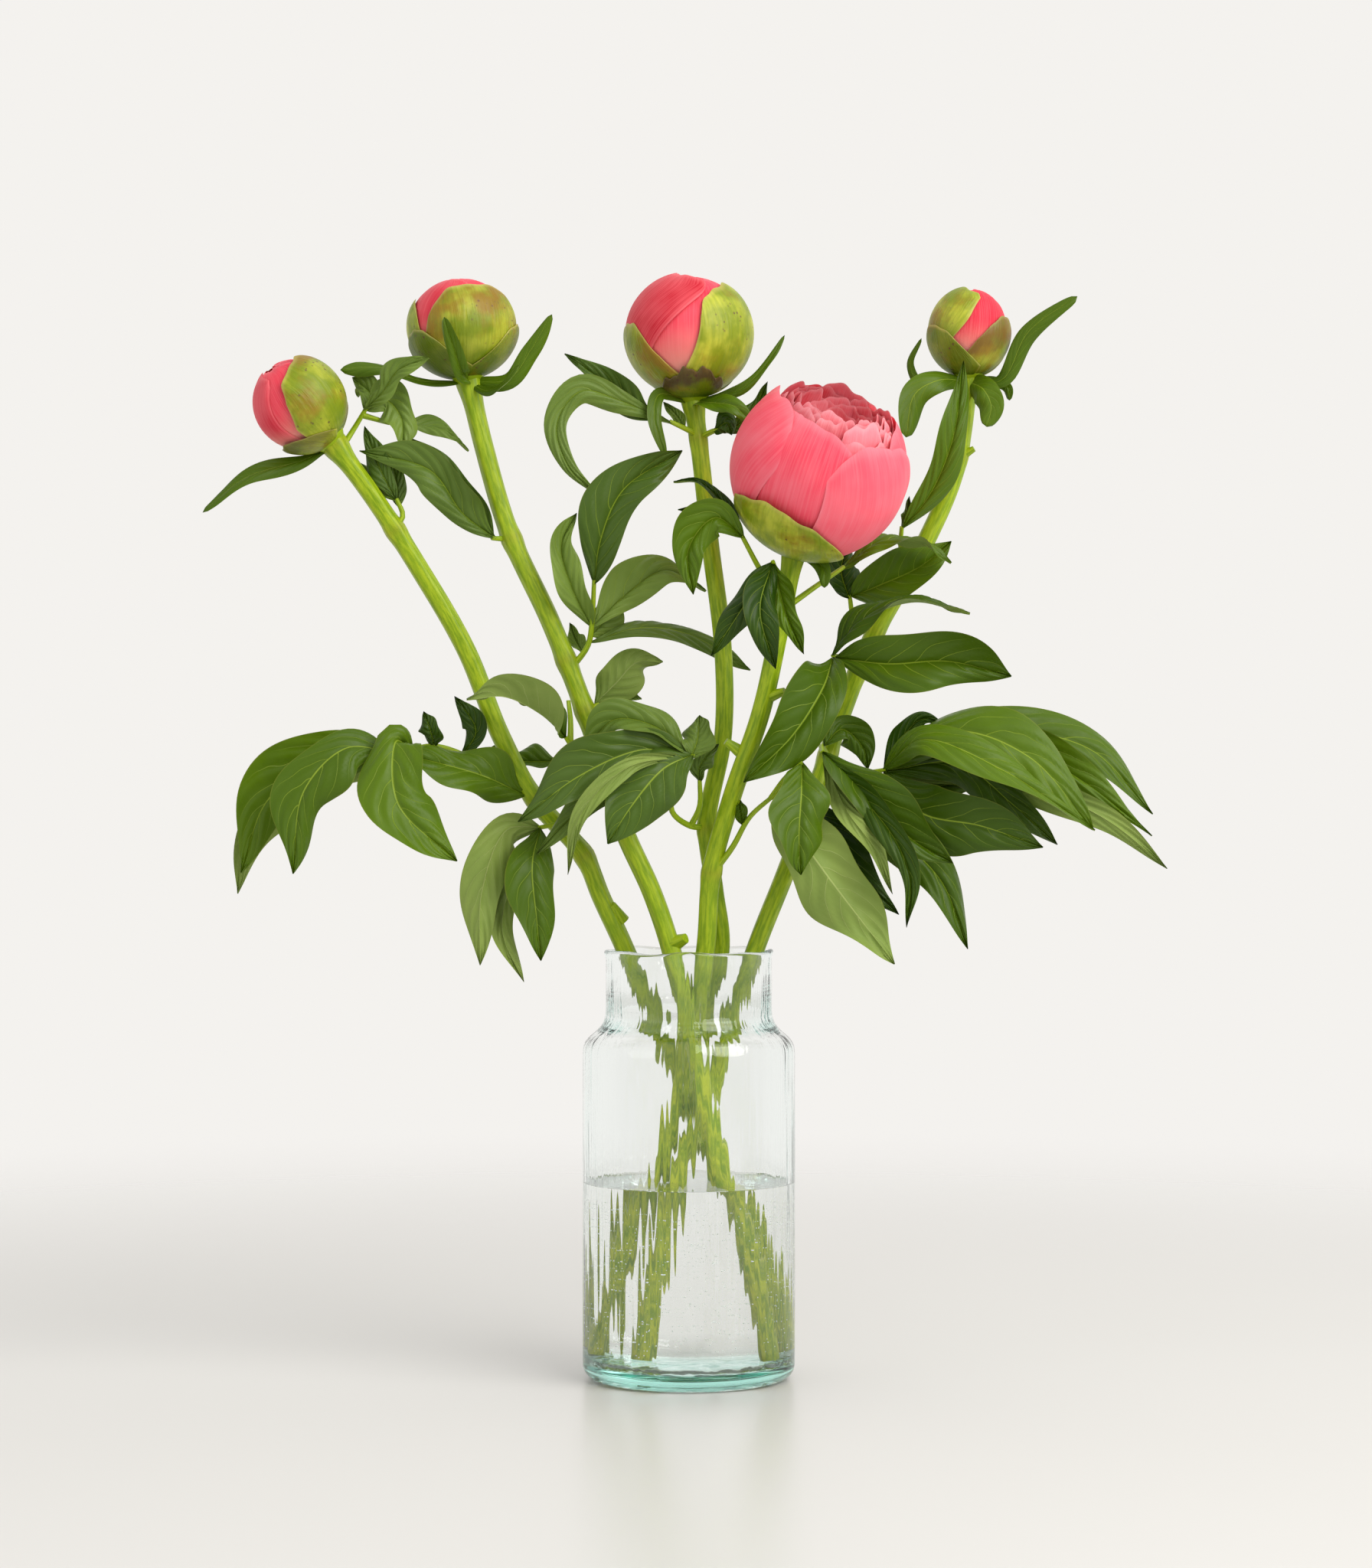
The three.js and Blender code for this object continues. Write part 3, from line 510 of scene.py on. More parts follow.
# A blade is swept along its midrib, folded, waved and quilted, with a thin body that closes at its edge.
def bladeTree():
    tree, given = startTree("leafBlade", [
        ("Columns", "Int", 17), ("Thickness", "Float", 0.45 * mm), ("Quilting", "Float", 0.35 * mm),
        ("Vein Pairs", "Float", 8.0), ("Upper Side", "Material", None), ("Lower Side", "Material", None)])
    line = put(tree, "GeometryNodeCurvePrimitiveLine", {"Start": (0, 0, 0), "End": (1, 0, 0)}).outputs[0]
    line = step(line, "ResampleCurve", {"Count": given["Columns"]})
    line = stored(line, "across", timesPlus(factorAlong(tree), 2.0, -1.0))
    sheet = step(step(given["Geometry"], "MeshToCurve"), "CurveToMesh", {"Profile Curve": line})
    across, along, phase = named(tree, "across"), named(tree, "along"), named(tree, "phase")
    reach, hand = calc("ABSOLUTE", across), calc("SIGN", across)
    scallop = timesPlus(along, named(tree, "lobes"), timesPlus(hand, bladeLook["scallopShift"], phase))
    scallop = timesPlus(calc("SINE", scallop), named(tree, "lobe"), 1.0)
    half = times(times(named(tree, "halfWidth"), scallop), across)
    fold = named(tree, "fold")
    out = times(half, calc("COSINE", fold))
    rise = times(calc("ABSOLUTE", half), calc("SINE", fold))
    # the margin waves more than the middle, and each side has its own beat
    beat = plus(timesPlus(along, named(tree, "beats"), phase), times(hand, bladeLook["waveShift"]))
    wave = times(calc("SINE", beat), named(tree, "wave"))
    wave = times(wave, calc("POWER", reach, bladeLook["wavePower"]))
    droop = timesPlus(named(tree, "roll"), hand, named(tree, "droop"))
    droop = times(droop, calc("POWER", reach, bladeLook["droopPower"]))
    # the blade swells between its veins and is sunk along the midrib
    swell = times(veinPhase(along, across, reach, given["Vein Pairs"]), 2 * math.pi)
    envelope = times(times(reach, minus(1.0, reach)), 4.0)
    swell = times(times(minus(0.5, calc("COSINE", swell)), envelope), given["Quilting"])
    groove = ramp(reach, bladeLook["midribReach"], 0.0)
    groove = times(groove, times(given["Quilting"], bladeLook["midribDepth"]))
    rise = plus(plus(rise, wave), plus(plus(swell, groove), droop))
    thin = calc("SQRT", calc("MAXIMUM", minus(1.0, times(across, across)), 0.0))
    taper = bladeLook["endTaper"]
    ends = calc("MINIMUM", times(along, taper), times(minus(1.0, along), taper))
    thin = times(thin, calc("MINIMUM", ends, 1.0))
    body = times(thin, times(given["Thickness"], 0.5))
    sheet = stored(sheet, "leafUv", vectorOf(along, timesPlus(across, 0.5, 0.5)), "FLOAT2", "CORNER")
    sides = []
    for sign, label in ((1.0, "Upper Side"), (-1.0, "Lower Side")):
        spot = vecCalc("ADD", named(tree, "spine", "FLOAT_VECTOR"),
                       scaled(named(tree, "sideways", "FLOAT_VECTOR"), out))
        lift = timesPlus(body, sign, rise)
        spot = vecCalc("ADD", spot, scaled(named(tree, "upward", "FLOAT_VECTOR"), lift))
        side = step(sheet, "SetPosition", {"Position": spot})
        sides.append(step(side, "SetMaterial", {"Material": given[label]}))
    join = put(tree, "GeometryNodeJoinGeometry", {0: step(sides[1], "FlipFaces")})
    tree.links.new(sides[0], join.inputs[0])
    return endTree(tree, join.outputs[0], bladeLook["seam"])


# A stalk or stem is a softly ribbed round swept along its path.
def stalkTree():
    tree, given = startTree("ribbedStalk", [
        ("Sides", "Int", 20), ("Rib Count", "Float", 5.0), ("Rib Depth", "Float", 0.05),
        ("Skin", "Material", None)])
    spot = put(tree, "GeometryNodeInputPosition").outputs[0]
    ring = stored(circle(tree, given["Sides"], 1.0), "ringSpot", spot, "FLOAT_VECTOR")
    turn = times(factorAlong(tree), 2 * math.pi)
    rib = times(calc("COSINE", times(turn, given["Rib Count"])), given["Rib Depth"])
    ring = step(ring, "SetPosition", {"Position": scaled(spot, plus(rib, 1.0))})
    solid = step(step(given["Geometry"], "MeshToCurve"), "CurveToMesh", {
        "Profile Curve": ring, "Scale": named(tree, "thick"), "Fill Caps": True})
    far = vectorOf(z=times(named(tree, "distance"), 0.3))  # the grain is drawn out along the stalk
    grain = vecCalc("ADD", named(tree, "ringSpot", "FLOAT_VECTOR"), far)
    return endTree(tree, stored(solid, "grain", grain, "FLOAT_VECTOR"), 0.002 * mm, given["Skin"])


trees = {"blade": bladeTree(), "stalk": stalkTree()}
print("geometry trees ready")


# Leaves.

leafStyle = {
    "rows": 46, "columns": 21, "outline": (0.9, 0.88), "breadth": 1.1, "fold": (2, 36),
    "wave": 0.2, "waveSpread": (0.6, 1.5), "beats": (6.0, 14.0), "droop": -0.2, "droopSpread": (0.3, 1.7),
    "roll": 0.55, "rollTurns": (2, 5), "lobe": (0.06, 0.24), "lobes": (7, 13), "shade": (-0.3, 1.25),
    "thickness": 0.5 * mm, "quilting": 0.5 * mm, "seed": 11,
}
leafRows = {
    "a_low": {"stalks": [
        [(-72, 2, 270), (-94, 0, 285), (-118, -8, 295), (-137, -12, 291)],
    ], "blades": [
        ([(-76, -1, 272), (-95, -12, 281), (-115, -17, 287), (-137, -18, 292)], 11, 60),
        ([(-134, -12, 291), (-158, -22, 294), (-177, -28, 274), (-182, -28, 236)], 12, (40, 80)),
        ([(-135, -12, 291), (-166, -4, 291), (-196, -6, 270), (-208, -10, 236)], 13, 75),
        ([(-134, -11, 291), (-168, 8, 286), (-202, 6, 260), (-211, 2, 226)], 10, -110),
        ([(-128, -11, 293), (-135, -24, 297), (-133, -34, 268), (-106, -36, 242)], 14, 85),
        ([(-118, -8, 294), (-120, -14, 303), (-123, -12, 311)], 4.5, 80),
        ([(-106, -4, 290), (-99, -8, 302), (-104, -10, 312), (-109, -8, 318)], 5, 70),
    ]},
    "a_drop": {"stalks": [
        [(-50, 5, 246), (-58, -6, 258), (-70, -14, 257)],
        [(-57, -5, 257), (-50, -8, 261), (-46, -8, 267)],
    ], "blades": [
        ([(-68, -13, 257), (-84, -22, 256), (-95, -28, 228), (-96, -28, 194)], 10, -100),
        ([(-69, -14, 257), (-80, -22, 236), (-86, -24, 210), (-76, -24, 186)], 6.5, -95),
        ([(-69, -14, 257), (-72, -28, 240), (-70, -30, 216), (-68, -28, 196)], 10, 85),
        ([(-46, -8, 264), (-51, -2, 274), (-58, 2, 283)], 5, 80),
    ]},
    "a_fan": {"stalks": [
        [(-137, -9, 396), (-133, -8, 402), (-136, -8, 410)],
    ], "blades": [
        ([(-136, -8, 409), (-144, -8, 425), (-151, -6, 444)], 5, 80),
        ([(-136, -8, 409), (-149, -2, 421), (-162, 2, 429)], 4.5, 70),
        ([(-135, -8, 406), (-137, 0, 420), (-140, 2, 435)], 4.5, 90),
    ]},
    "a_top": {"stalks": [
        [(-162, -10, 432), (-155, -6, 444), (-150, -8, 452)],
        [(-152, -7, 449), (-140, 0, 446)],
    ], "blades": [
        ([(-151, -8, 451), (-142, -14, 459), (-134, -18, 469), (-120, -20, 474)], 5.5, 60),
        ([(-151, -7, 451), (-149, 4, 460), (-158, 8, 468)], 6, 60),
        ([(-150, -7, 451), (-141, -4, 456), (-134, -5, 448), (-133, -7, 433)], 8, 75),
        ([(-142, -1, 446), (-128, 4, 445), (-115, 5, 443), (-103, 2, 433)], 4, 30),
    ]},
    "b_single": {"stalks": [
        [(-84, 4, 392), (-92, -2, 392)],
    ], "blades": [
        ([(-90, -1, 392), (-105, -8, 403), (-120, -10, 423), (-153, -10, 432)], 9, 70),
        ([(-91, -1, 392), (-108, 2, 414), (-122, 4, 430), (-133, 4, 441)], 7, 60),
    ]},
    "b_tall": {"stalks": [
        [(-55, -4, 331), (-47, -6, 342), (-45, -9, 354), (-44, -11, 372)],
    ], "blades": [
        ([(-44, -11, 370), (-41, -14, 390), (-30, -15, 414), (-3, -12, 432)], 12.5, 80),
        ([(-45, -8, 350), (-54, -13, 368), (-59, -14, 388), (-52, -12, 403)], 7.5, 75),
        ([(-49, -5, 338), (-53, 6, 345), (-56, 8, 353)], 4, 80),
        ([(-46, -7, 346), (-38, 2, 356), (-35, 6, 369)], 7, 80),
        ([(-45, -8, 350), (-30, -2, 365), (-12, 2, 377), (8, 14, 368)], 9, 45),
        ([(-46, -6, 343), (-25, -2, 350), (0, 14, 348), (29, 20, 331)], 8, 55),
    ]},
    "b_side": {"stalks": [
        [(-48, -6, 310), (-42, -5, 315)],
    ], "blades": [
        ([(-44, -5, 314), (-34, -9, 324), (-24, -11, 334), (-12, -11, 334)], 10, (-110, -60)),
        ([(-44, -5, 314), (-34, 0, 319), (-22, 0, 317)], 5, 60),
    ]},
    "b_low": {"stalks": [
        [(-37, -9, 278), (-50, -14, 288), (-57, -18, 299)],
        [(-55, -16, 296), (-55, -13, 307), (-56, -11, 316)],
        [(-49, -14, 287), (-55, -2, 288), (-62, 12, 288)],
    ], "blades": [
        ([(-57, -18, 299), (-68, -26, 310), (-85, -31, 318), (-102, -31, 316)], 14, (70, -50)),
        ([(-60, 12, 288), (-76, 14, 288), (-100, 14, 289)], 9, 60),
    ]},
    "c_front": {"stalks": [
        [(8.5, 2, 257), (0, -6, 258), (-8, -14, 265), (-4, -24, 282), (2, -28, 291)],
        [(1, -5, 258), (5, -9, 267), (5, -9, 279)],
    ], "blades": [
        ([(5, -9, 278), (5, -10, 285), (9, -10, 291), (14, -10, 296)], 4, 85),
        ([(2, -28, 291), (-12, -38, 284), (-27, -43, 266), (-37, -43, 250)], 14, 80),
        ([(1, -27, 289), (4, -24, 298), (5, -20, 309)], 7, 85),
        ([(0, -27, 291), (-16, -27, 304), (-34, -28, 307), (-49, -26, 292)], 10, 60),
        ([(0, -27, 291), (-22, -34, 293), (-50, -40, 281), (-78, -40, 260)], 12, 75),
        ([(0, -27, 290), (-30, -26, 280), (-54, -29, 262), (-70, -29, 245)], 8, 80),
        ([(0, -28, 290), (-28, -48, 285), (-49, -50, 264), (-55, -48, 236)], 4.5, -70),
    ]},
    "c_curl": {"stalks": [
        [(5, 11, 441), (-2, 6, 444), (-9, 3, 447)],
    ], "blades": [
        ([(-8, 3, 446), (-25, 0, 452), (-42, -2, 467), (-58, -2, 478)], 6.5, 60),
        ([(-8, 3, 446), (-32, -6, 456), (-50, -10, 460), (-61, -12, 445), (-56, -14, 425),
          (-41, -14, 410)], 5.5, (50, 85)),
        ([(-2, 6, 444), (-6, 10, 451), (-12, 13, 457)], 3, 80),
    ]},
    "c_right": {"stalks": [
        [(5, 11, 440), (12, 6, 443), (20, 4, 444)],
    ], "blades": [
        ([(14, 5, 443), (24, 6, 446), (32, 6, 455), (37, 6, 466)], 4, 80),
        ([(12, 6, 443), (18, -1, 446), (20, -3, 440)], 5, 80),
    ]},
    "d_left": {"stalks": [
        [(43, -29, 360), (33, -42, 374), (24, -50, 390)],
    ], "blades": [
        ([(25, -50, 389), (12, -54, 398), (0, -55, 384), (2, -55, 363)], 9, 75),
        ([(24, -49, 389), (14, -44, 407), (4, -42, 415), (-7, -41, 415)], 3.6, 50),
        ([(24.3, -49.4, 389.3), (12, -36, 396), (4, -34, 402), (-5, -33, 403)], 3.5, 70),
    ]},
    "d_three": {"stalks": [
        [(43, -29, 357), (41, -42, 370), (38, -54, 378)],
    ], "blades": [
        ([(38, -53, 378), (27, -60, 361), (10, -60, 335)], 6.5, 85),
        ([(38, -53, 378), (32, -66, 355), (39, -66, 329)], 8, 85),
        ([(38, -53, 378), (44, -58, 354), (52, -56, 336)], 6, 85),
    ]},
    "d_right": {"stalks": [
        [(43, -29, 357), (58, -22, 368), (72, -12, 378)],
    ], "blades": [
        ([(71, -12, 377), (89, -10, 390), (108, -8, 390), (122, -8, 380)], 8, 25),
    ]},
    "d_low": {"stalks": [
        [(11, -17, 236), (20, -20, 248), (28, -22, 262), (39, -25, 272)],
        [(38, -25, 271), (45, -34, 281), (52, -37, 287)],
    ], "blades": [
        ([(25, -21, 258), (24, -22, 264), (23, -20, 271)], 3, 80),
        ([(39, -25, 271), (54, -34, 248), (74, -39, 221), (94, -39, 195)], 14, -100),
        ([(38, -24, 271), (64, -22, 256), (80, -22, 234), (97, -20, 217)], 9, 80),
        ([(52, -37, 287), (51, -48, 270), (50, -50, 252), (51, -48, 236)], 12, 85),
    ]},
    "e_fan": {"stalks": [
        [(66, 15, 290), (62, 0, 295), (62, -14, 292)],
    ], "blades": [
        ([(62, -14, 292), (80, -27, 276), (101, -33, 253), (121, -33, 241)], 12, 70),
        ([(63, -2, 295), (72, 4, 303), (82, 6, 294), (84, 6, 284)], 7, 70),
        ([(62, -14, 291.5), (72, -32, 266), (86, -38, 246), (93, -40, 227)], 4.5, -80),
        ([(62, -14, 291), (94, -42, 252), (101, -46, 232), (99, -46, 212)], 6.5, 85),
        ([(62, -13.5, 291.5), (94, -16, 256), (117, -18, 232), (129, -18, 201)], 11, 80),
    ]},
    "e_far": {"stalks": [
        [(60, 13, 276), (76, 4, 281), (92, -2, 284)],
    ], "blades": [
        ([(91, -2, 283), (108, -10, 264), (135, -16, 258), (164, -16, 248)], 13, 80),
        ([(91, -2, 284), (110, 6, 275), (126, 10, 278), (140, 12, 277)], 11, 80),
        ([(91, -2, 284), (108, -18, 298), (144, -29, 284), (186, -34, 256)], 9.5, 50),
        ([(91, -1, 284), (100, 8, 299), (110, 10, 308), (122, 10, 304)], 5, 70),
        ([(91, -2, 284), (122, -5, 302), (158, -12, 290), (187, -18, 256)], 14, 65),
        ([(91, -2, 283), (125, -4, 287), (151, -2, 268), (172, -2, 249)], 9, 80),
        ([(91, -1, 284), (148, 8, 297), (184, 2, 279), (216, -3, 253)], 9, 60),
        ([(91, 0, 284), (146, 24, 302), (190, 24, 294), (219, 18, 263)], 13, 65),
        ([(91, -1, 283), (148, 2, 280), (192, -8, 262), (222, -12, 238)], 7.5, (-60, -100)),
    ]},
    "e_big": {"stalks": [
        [(80, 19, 331), (74, 6, 336), (67, -8, 337)],
    ], "blades": [
        ([(67, -8, 337), (80, -14, 353), (104, -18, 362), (130, -18, 356)], 8.5, 25),
        ([(68, -7, 336), (92, -16, 333), (120, -20, 334), (149, -20, 327)], 15, 80),
        ([(67, -8, 336), (61, -28, 320), (47, -36, 299), (25, -38, 278)], 14, 85),
    ]},
    "e_back": {"stalks": [
        [(88, 20, 349), (79, 24, 354), (76, 22, 367)],
    ], "blades": [
        ([(76, 22, 365), (72, 18, 378), (75, 16, 391)], 8, 85),
        ([(77, 22, 366), (90, 12, 371), (108, 6, 379), (123, 4, 391)], 12, 80),
    ]},
    "e_long": {"stalks": [
        [(106, 22, 381), (100, 14, 388), (100, 8, 398)],
    ], "blades": [
        ([(100, 8, 397), (113, 6, 413), (124, 4, 440), (129, 8, 476)], 7, 80),
        ([(100, 9, 397), (103, 14, 405), (104, 15, 413)], 2.5, 80),
    ]},
}


# A blade's half width along it, from 0 to 1; skew moves the widest place and fullness rounds the ends.
def leafOutline(u, skew, fullness):
    return np.maximum(0.02, np.sin(math.pi * np.clip(u, 0, 1) ** skew) ** fullness)


# leaves whose upper face is paler and greyer
paleLeaves = ("a_top", "a_fan", "b_single", "b_side", "b_tall", "c_curl", "c_front")


# One blade's midrib with all that its sweep needs to know at each point.
def bladeLine(midrib, halfWidth, face, rows, dice, style):
    path = smoothPath(midrib, rows)
    along = np.linspace(0, 1, rows)
    forward = tangentsOf(path)
    base, tip = face if isinstance(face, tuple) else (face, face)
    turn = np.radians(base + along * (tip - base))
    up = np.stack([np.zeros(rows), -np.sin(turn), np.cos(turn)], axis=1)
    up -= forward * np.sum(up * forward, axis=1)[:, None]
    up /= np.linalg.norm(up, axis=1)[:, None]
    side = np.cross(forward, up)
    wide = halfWidth * style["breadth"] * mm * leafOutline(along, *style["outline"])
    full = np.ones(rows)
    fade = np.clip(along * 8, 0, 1) * np.clip((1 - along) * 8, 0, 1)
    facts = {
        "spine": path, "sideways": side, "upward": up, "halfWidth": wide, "along": along,
        "fold": full * math.radians(dice.uniform(*style["fold"])),
        "wave": fade * halfWidth * mm * style["wave"] * dice.uniform(*style["waveSpread"]),
        "beats": full * dice.uniform(*style["beats"]), "phase": full * dice.uniform(0, 6.3),
        "droop": wide * style["droop"] * dice.uniform(*style["droopSpread"]),
        "roll": style["roll"] * wide * np.sin(
            along * dice.uniform(*style["rollTurns"]) + dice.uniform(0, 6)),
        "lobe": full * dice.uniform(*style["lobe"]), "lobes": full * dice.uniform(*style["lobes"]),
        "shade": full * dice.uniform(*style["shade"]),
    }
    return path, facts


def gathered(rows):
    return {key: [facts[key] for _, facts in rows] for key in rows[0][1]}


def bladesMesh(name, blades, dice, style, upper, under):
    rows = [bladeLine(*blade, style["rows"], dice, style) for blade in blades]
    source = lineMesh(name, [path for path, _ in rows], gathered(rows))
    return baked(name, source, trees["blade"], {
        "Columns": style["columns"], "Thickness": style["thickness"], "Quilting": style["quilting"],
        "Vein Pairs": leafSkin["veinPairs"], "Upper Side": upper, "Lower Side": under})


stalkLook = {
    "spacing": 2.5, "flareLength": 9 * mm, "nodeLength": 4.5 * mm, "grainLength": 10 * mm,
    "radii": (1.5, 1.0), "plain": {"sides": 12, "ribs": 3, "depth": 0.1},
}


# Ribbed stalks along their routes. nodes are (height in mm, swelling in mm).
def stalkMesh(name, routes, radii, sides, ribs, depth, flare=0.0, nodes=()):
    lines, facts = [], {"thick": [], "distance": [], "blush": []}
    for route in routes:
        count = max(8, int(sum(math.dist(a, b) for a, b in zip(route, route[1:])) / stalkLook["spacing"]))
        path = smoothPath(route, count)
        run = runOf(path)
        thick = np.interp(run / run[-1], [0, 1], radii) * mm
        thick = thick + flare * mm * np.exp(-((run[-1] - run) / stalkLook["flareLength"]) ** 2)
        blush = np.zeros(count)
        for height, swell in nodes:
            spot = run[np.argmin(np.abs(path[:, 2] - height * mm))]
            bell = np.exp(-((run - spot) / stalkLook["nodeLength"]) ** 2)
            thick = thick + 0.6 * swell * mm * bell
            blush = np.maximum(blush, bell ** 3)
        lines.append(path)
        facts["thick"].append(thick)
        facts["distance"].append(run / stalkLook["grainLength"])
        facts["blush"].append(blush)
    source = lineMesh(name, lines, facts)
    return baked(name, source, trees["stalk"], {
        "Sides": sides, "Rib Count": float(ribs), "Rib Depth": depth, "Skin": looks["stem"]})


def makeLeaves():
    dice = random.Random(leafStyle["seed"])
    for key, row in leafRows.items():
        blades = bladesMesh(key + "Blades", row["blades"], dice, leafStyle,
                            looks["pale" if key in paleLeaves else "upper"], looks["under"])
        stalks = stalkMesh(key + "Stalks", row["stalks"], stalkLook["radii"], **stalkLook["plain"])
        pieceFrom("leaf_" + key + "_fine", [blades, stalks], ["leaf_" + key])
    print("leaves made:", len(leafRows))


# Flowers.

flowerRows = {
    "a": {"centre": (-181, -14, 453.5), "axis": (-0.65, -0.2, 0.73), "radii": (20.3, 21)},
    "b": {"centre": (-107, 14, 493), "axis": (-0.12, 0, 1), "radii": (24, 22.1)},
    "c": {"centre": (0, 12, 488.8), "axis": (-0.06, -0.08, 1), "radii": (28.6, 27.2)},
    "d": {"centre": (60, -44, 423), "axis": (0.28, -0.35, 0.9), "radii": (36.4, 38)},
    "e": {"centre": (133, 25, 492), "axis": (0.04, -0.05, 1), "radii": (17.8, 19.4)},
}


def flowerFrame(flower):
    z = Vector(flower["axis"]).normalized()
    front = Vector((0, -1, 0))
    y = -(front - z * front.dot(z)).normalized()
    x = y.cross(z)
    frameMatrix = np.array([[x[k], y[k], z[k]] for k in range(3)])
    return np.array(flower["centre"], float), frameMatrix


def placed(flower, local):
    centre, turn = flowerFrame(flower)
    return (local @ turn.T + centre) * mm


def seatOf(flower, below):
    return tuple(placed(flower, np.array([0, 0, -flower["radii"][1] - below])) / mm)


shellPlain = {
    "tipAzimuth": None, "lift": 1.0, "tipLift": None, "edgeLift": 0.0, "drop": 30.0, "power": 2.2,
    "ruffle": 1.2, "beats": 3.0, "crease": 0.5, "shade": 0.5, "thickness": 0.8, "scale": 1.0,
    "sink": 0.0, "base": 0.4, "waist": 0.55, "rows": 36, "columns": 40, "lean": 0.0, "scorch": 0.0,
    "tan": (0.0, 0.0), "taper": 0.12, "rimWidth": 0.12,
}


# A petal or sepal that follows the flower's ellipsoid, as a thin closed shell.
# azimuth 0 is the front and 90 the right; from and to are degrees up from the bottom pole.
def shellMesh(name, flower, given, dice, material):
    spec = {**shellPlain, **given}
    wide, tall = (r * spec["scale"] for r in flower["radii"])
    rows, columns = spec["rows"], spec["columns"]
    u = (1 - np.cos(np.linspace(0, math.pi, rows + 1))) / 2 * 0.5 + np.linspace(0, 1, rows + 1) * 0.5
    v = np.sin(np.linspace(-1, 1, columns + 1) * math.pi / 2) * 0.35 + np.linspace(-1, 1, columns + 1) * 0.65
    u, v = np.meshgrid(u, v, indexing="ij")
    start = dice.uniform(0, 6.3)
    wave = np.sin(v * spec["beats"] * 2.3 + start) + 0.5 * np.sin(v * spec["beats"] * 5.1 + start * 2)
    rim = spec["to"] - spec["drop"] * np.abs(v + spec["lean"]) ** spec["power"] + spec["ruffle"] * wave
    polar = np.radians(spec["from"] + u * (rim - spec["from"]))
    outline = spec["base"] + (1 - spec["base"]) * np.sin(np.clip(u / spec["waist"], 0, 1) * math.pi / 2)
    outline = outline * (1 - spec["taper"] * np.clip((u - spec["waist"]) / (1 - spec["waist"]), 0, 1) ** 2)
    reach = spec["halfWidth"] * outline / np.maximum(wide * np.sin(polar), 0.3 * wide)
    tipAzimuth = spec["azimuth"] if spec["tipAzimuth"] is None else spec["tipAzimuth"]
    turn = np.radians(spec["azimuth"] + u ** 1.5 * (tipAzimuth - spec["azimuth"]))
    turn = turn + v * np.minimum(reach, 1.5)
    tipLift = spec["lift"] if spec["tipLift"] is None else spec["tipLift"]
    lift = spec["lift"] + (tipLift - spec["lift"]) * u ** 2 + spec["edgeLift"] * np.abs(v) ** 3 * u
    crease = 0.4 * np.sin(v * 4.7 + start) + 0.3 * np.sin(v * 9.1 + 3 * u + start)
    lift = lift + spec["crease"] * u * crease
    lift = lift + 0.5 * spec["crease"] * wave * u ** 6
    edge = np.minimum(1 - np.abs(v), np.minimum(u * 1.5, 1 - u))
    half = spec["thickness"] / 2 * np.sqrt(np.clip(edge / spec["rimWidth"], 0, 1))
    layers = []
    for sign in (1, -1):
        off = lift + sign * half
        outwards = (wide + off) * np.sin(polar)
        local = np.stack([outwards * np.sin(turn), -outwards * np.cos(turn),
                          -(tall + off) * np.cos(polar) - spec["sink"]], axis=-1)
        layers.append(placed(flower, local.reshape(-1, 3)))
    total = (rows + 1) * (columns + 1)
    grid = np.arange(total).reshape(rows + 1, columns + 1)
    quads = np.stack([grid[:-1, :-1], grid[:-1, 1:], grid[1:, 1:], grid[1:, :-1]], axis=-1).reshape(-1, 4)
    points = np.concatenate(layers)
    faces = np.concatenate([quads, quads[:, ::-1] + total])
    mesh = bpy.data.meshes.new(name)
    mesh.from_pydata(points.tolist(), [], faces.tolist())
    uv = mesh.uv_layers.new(name="petalUv")
    corners = faces.ravel() % total
    spots = np.stack([u.ravel()[corners], v.ravel()[corners] * 0.5 + 0.5], axis=1)
    uv.data.foreach_set("uv", spots.astype(np.float32).ravel())
    tan, side = spec["tan"]
    tints = {"shade": np.full(total, spec["shade"]), "scorch": np.full(total, spec["scorch"]),
             "tan": (tan * np.clip((u - 0.2) / 0.5, 0, 1) * (0.5 + 0.5 * side * v)).ravel()}
    for key, values in tints.items():
        layer = mesh.attributes.new(key, "FLOAT", "POINT")
        layer.data.foreach_set("value", np.tile(values, 2).astype(np.float32))
    work = bmesh.new()
    work.from_mesh(mesh)
    bmesh.ops.remove_doubles(work, verts=work.verts[:], dist=0.003 * mm)
    work.to_mesh(mesh)
    work.free()
    mesh.materials.append(material)
    return mesh


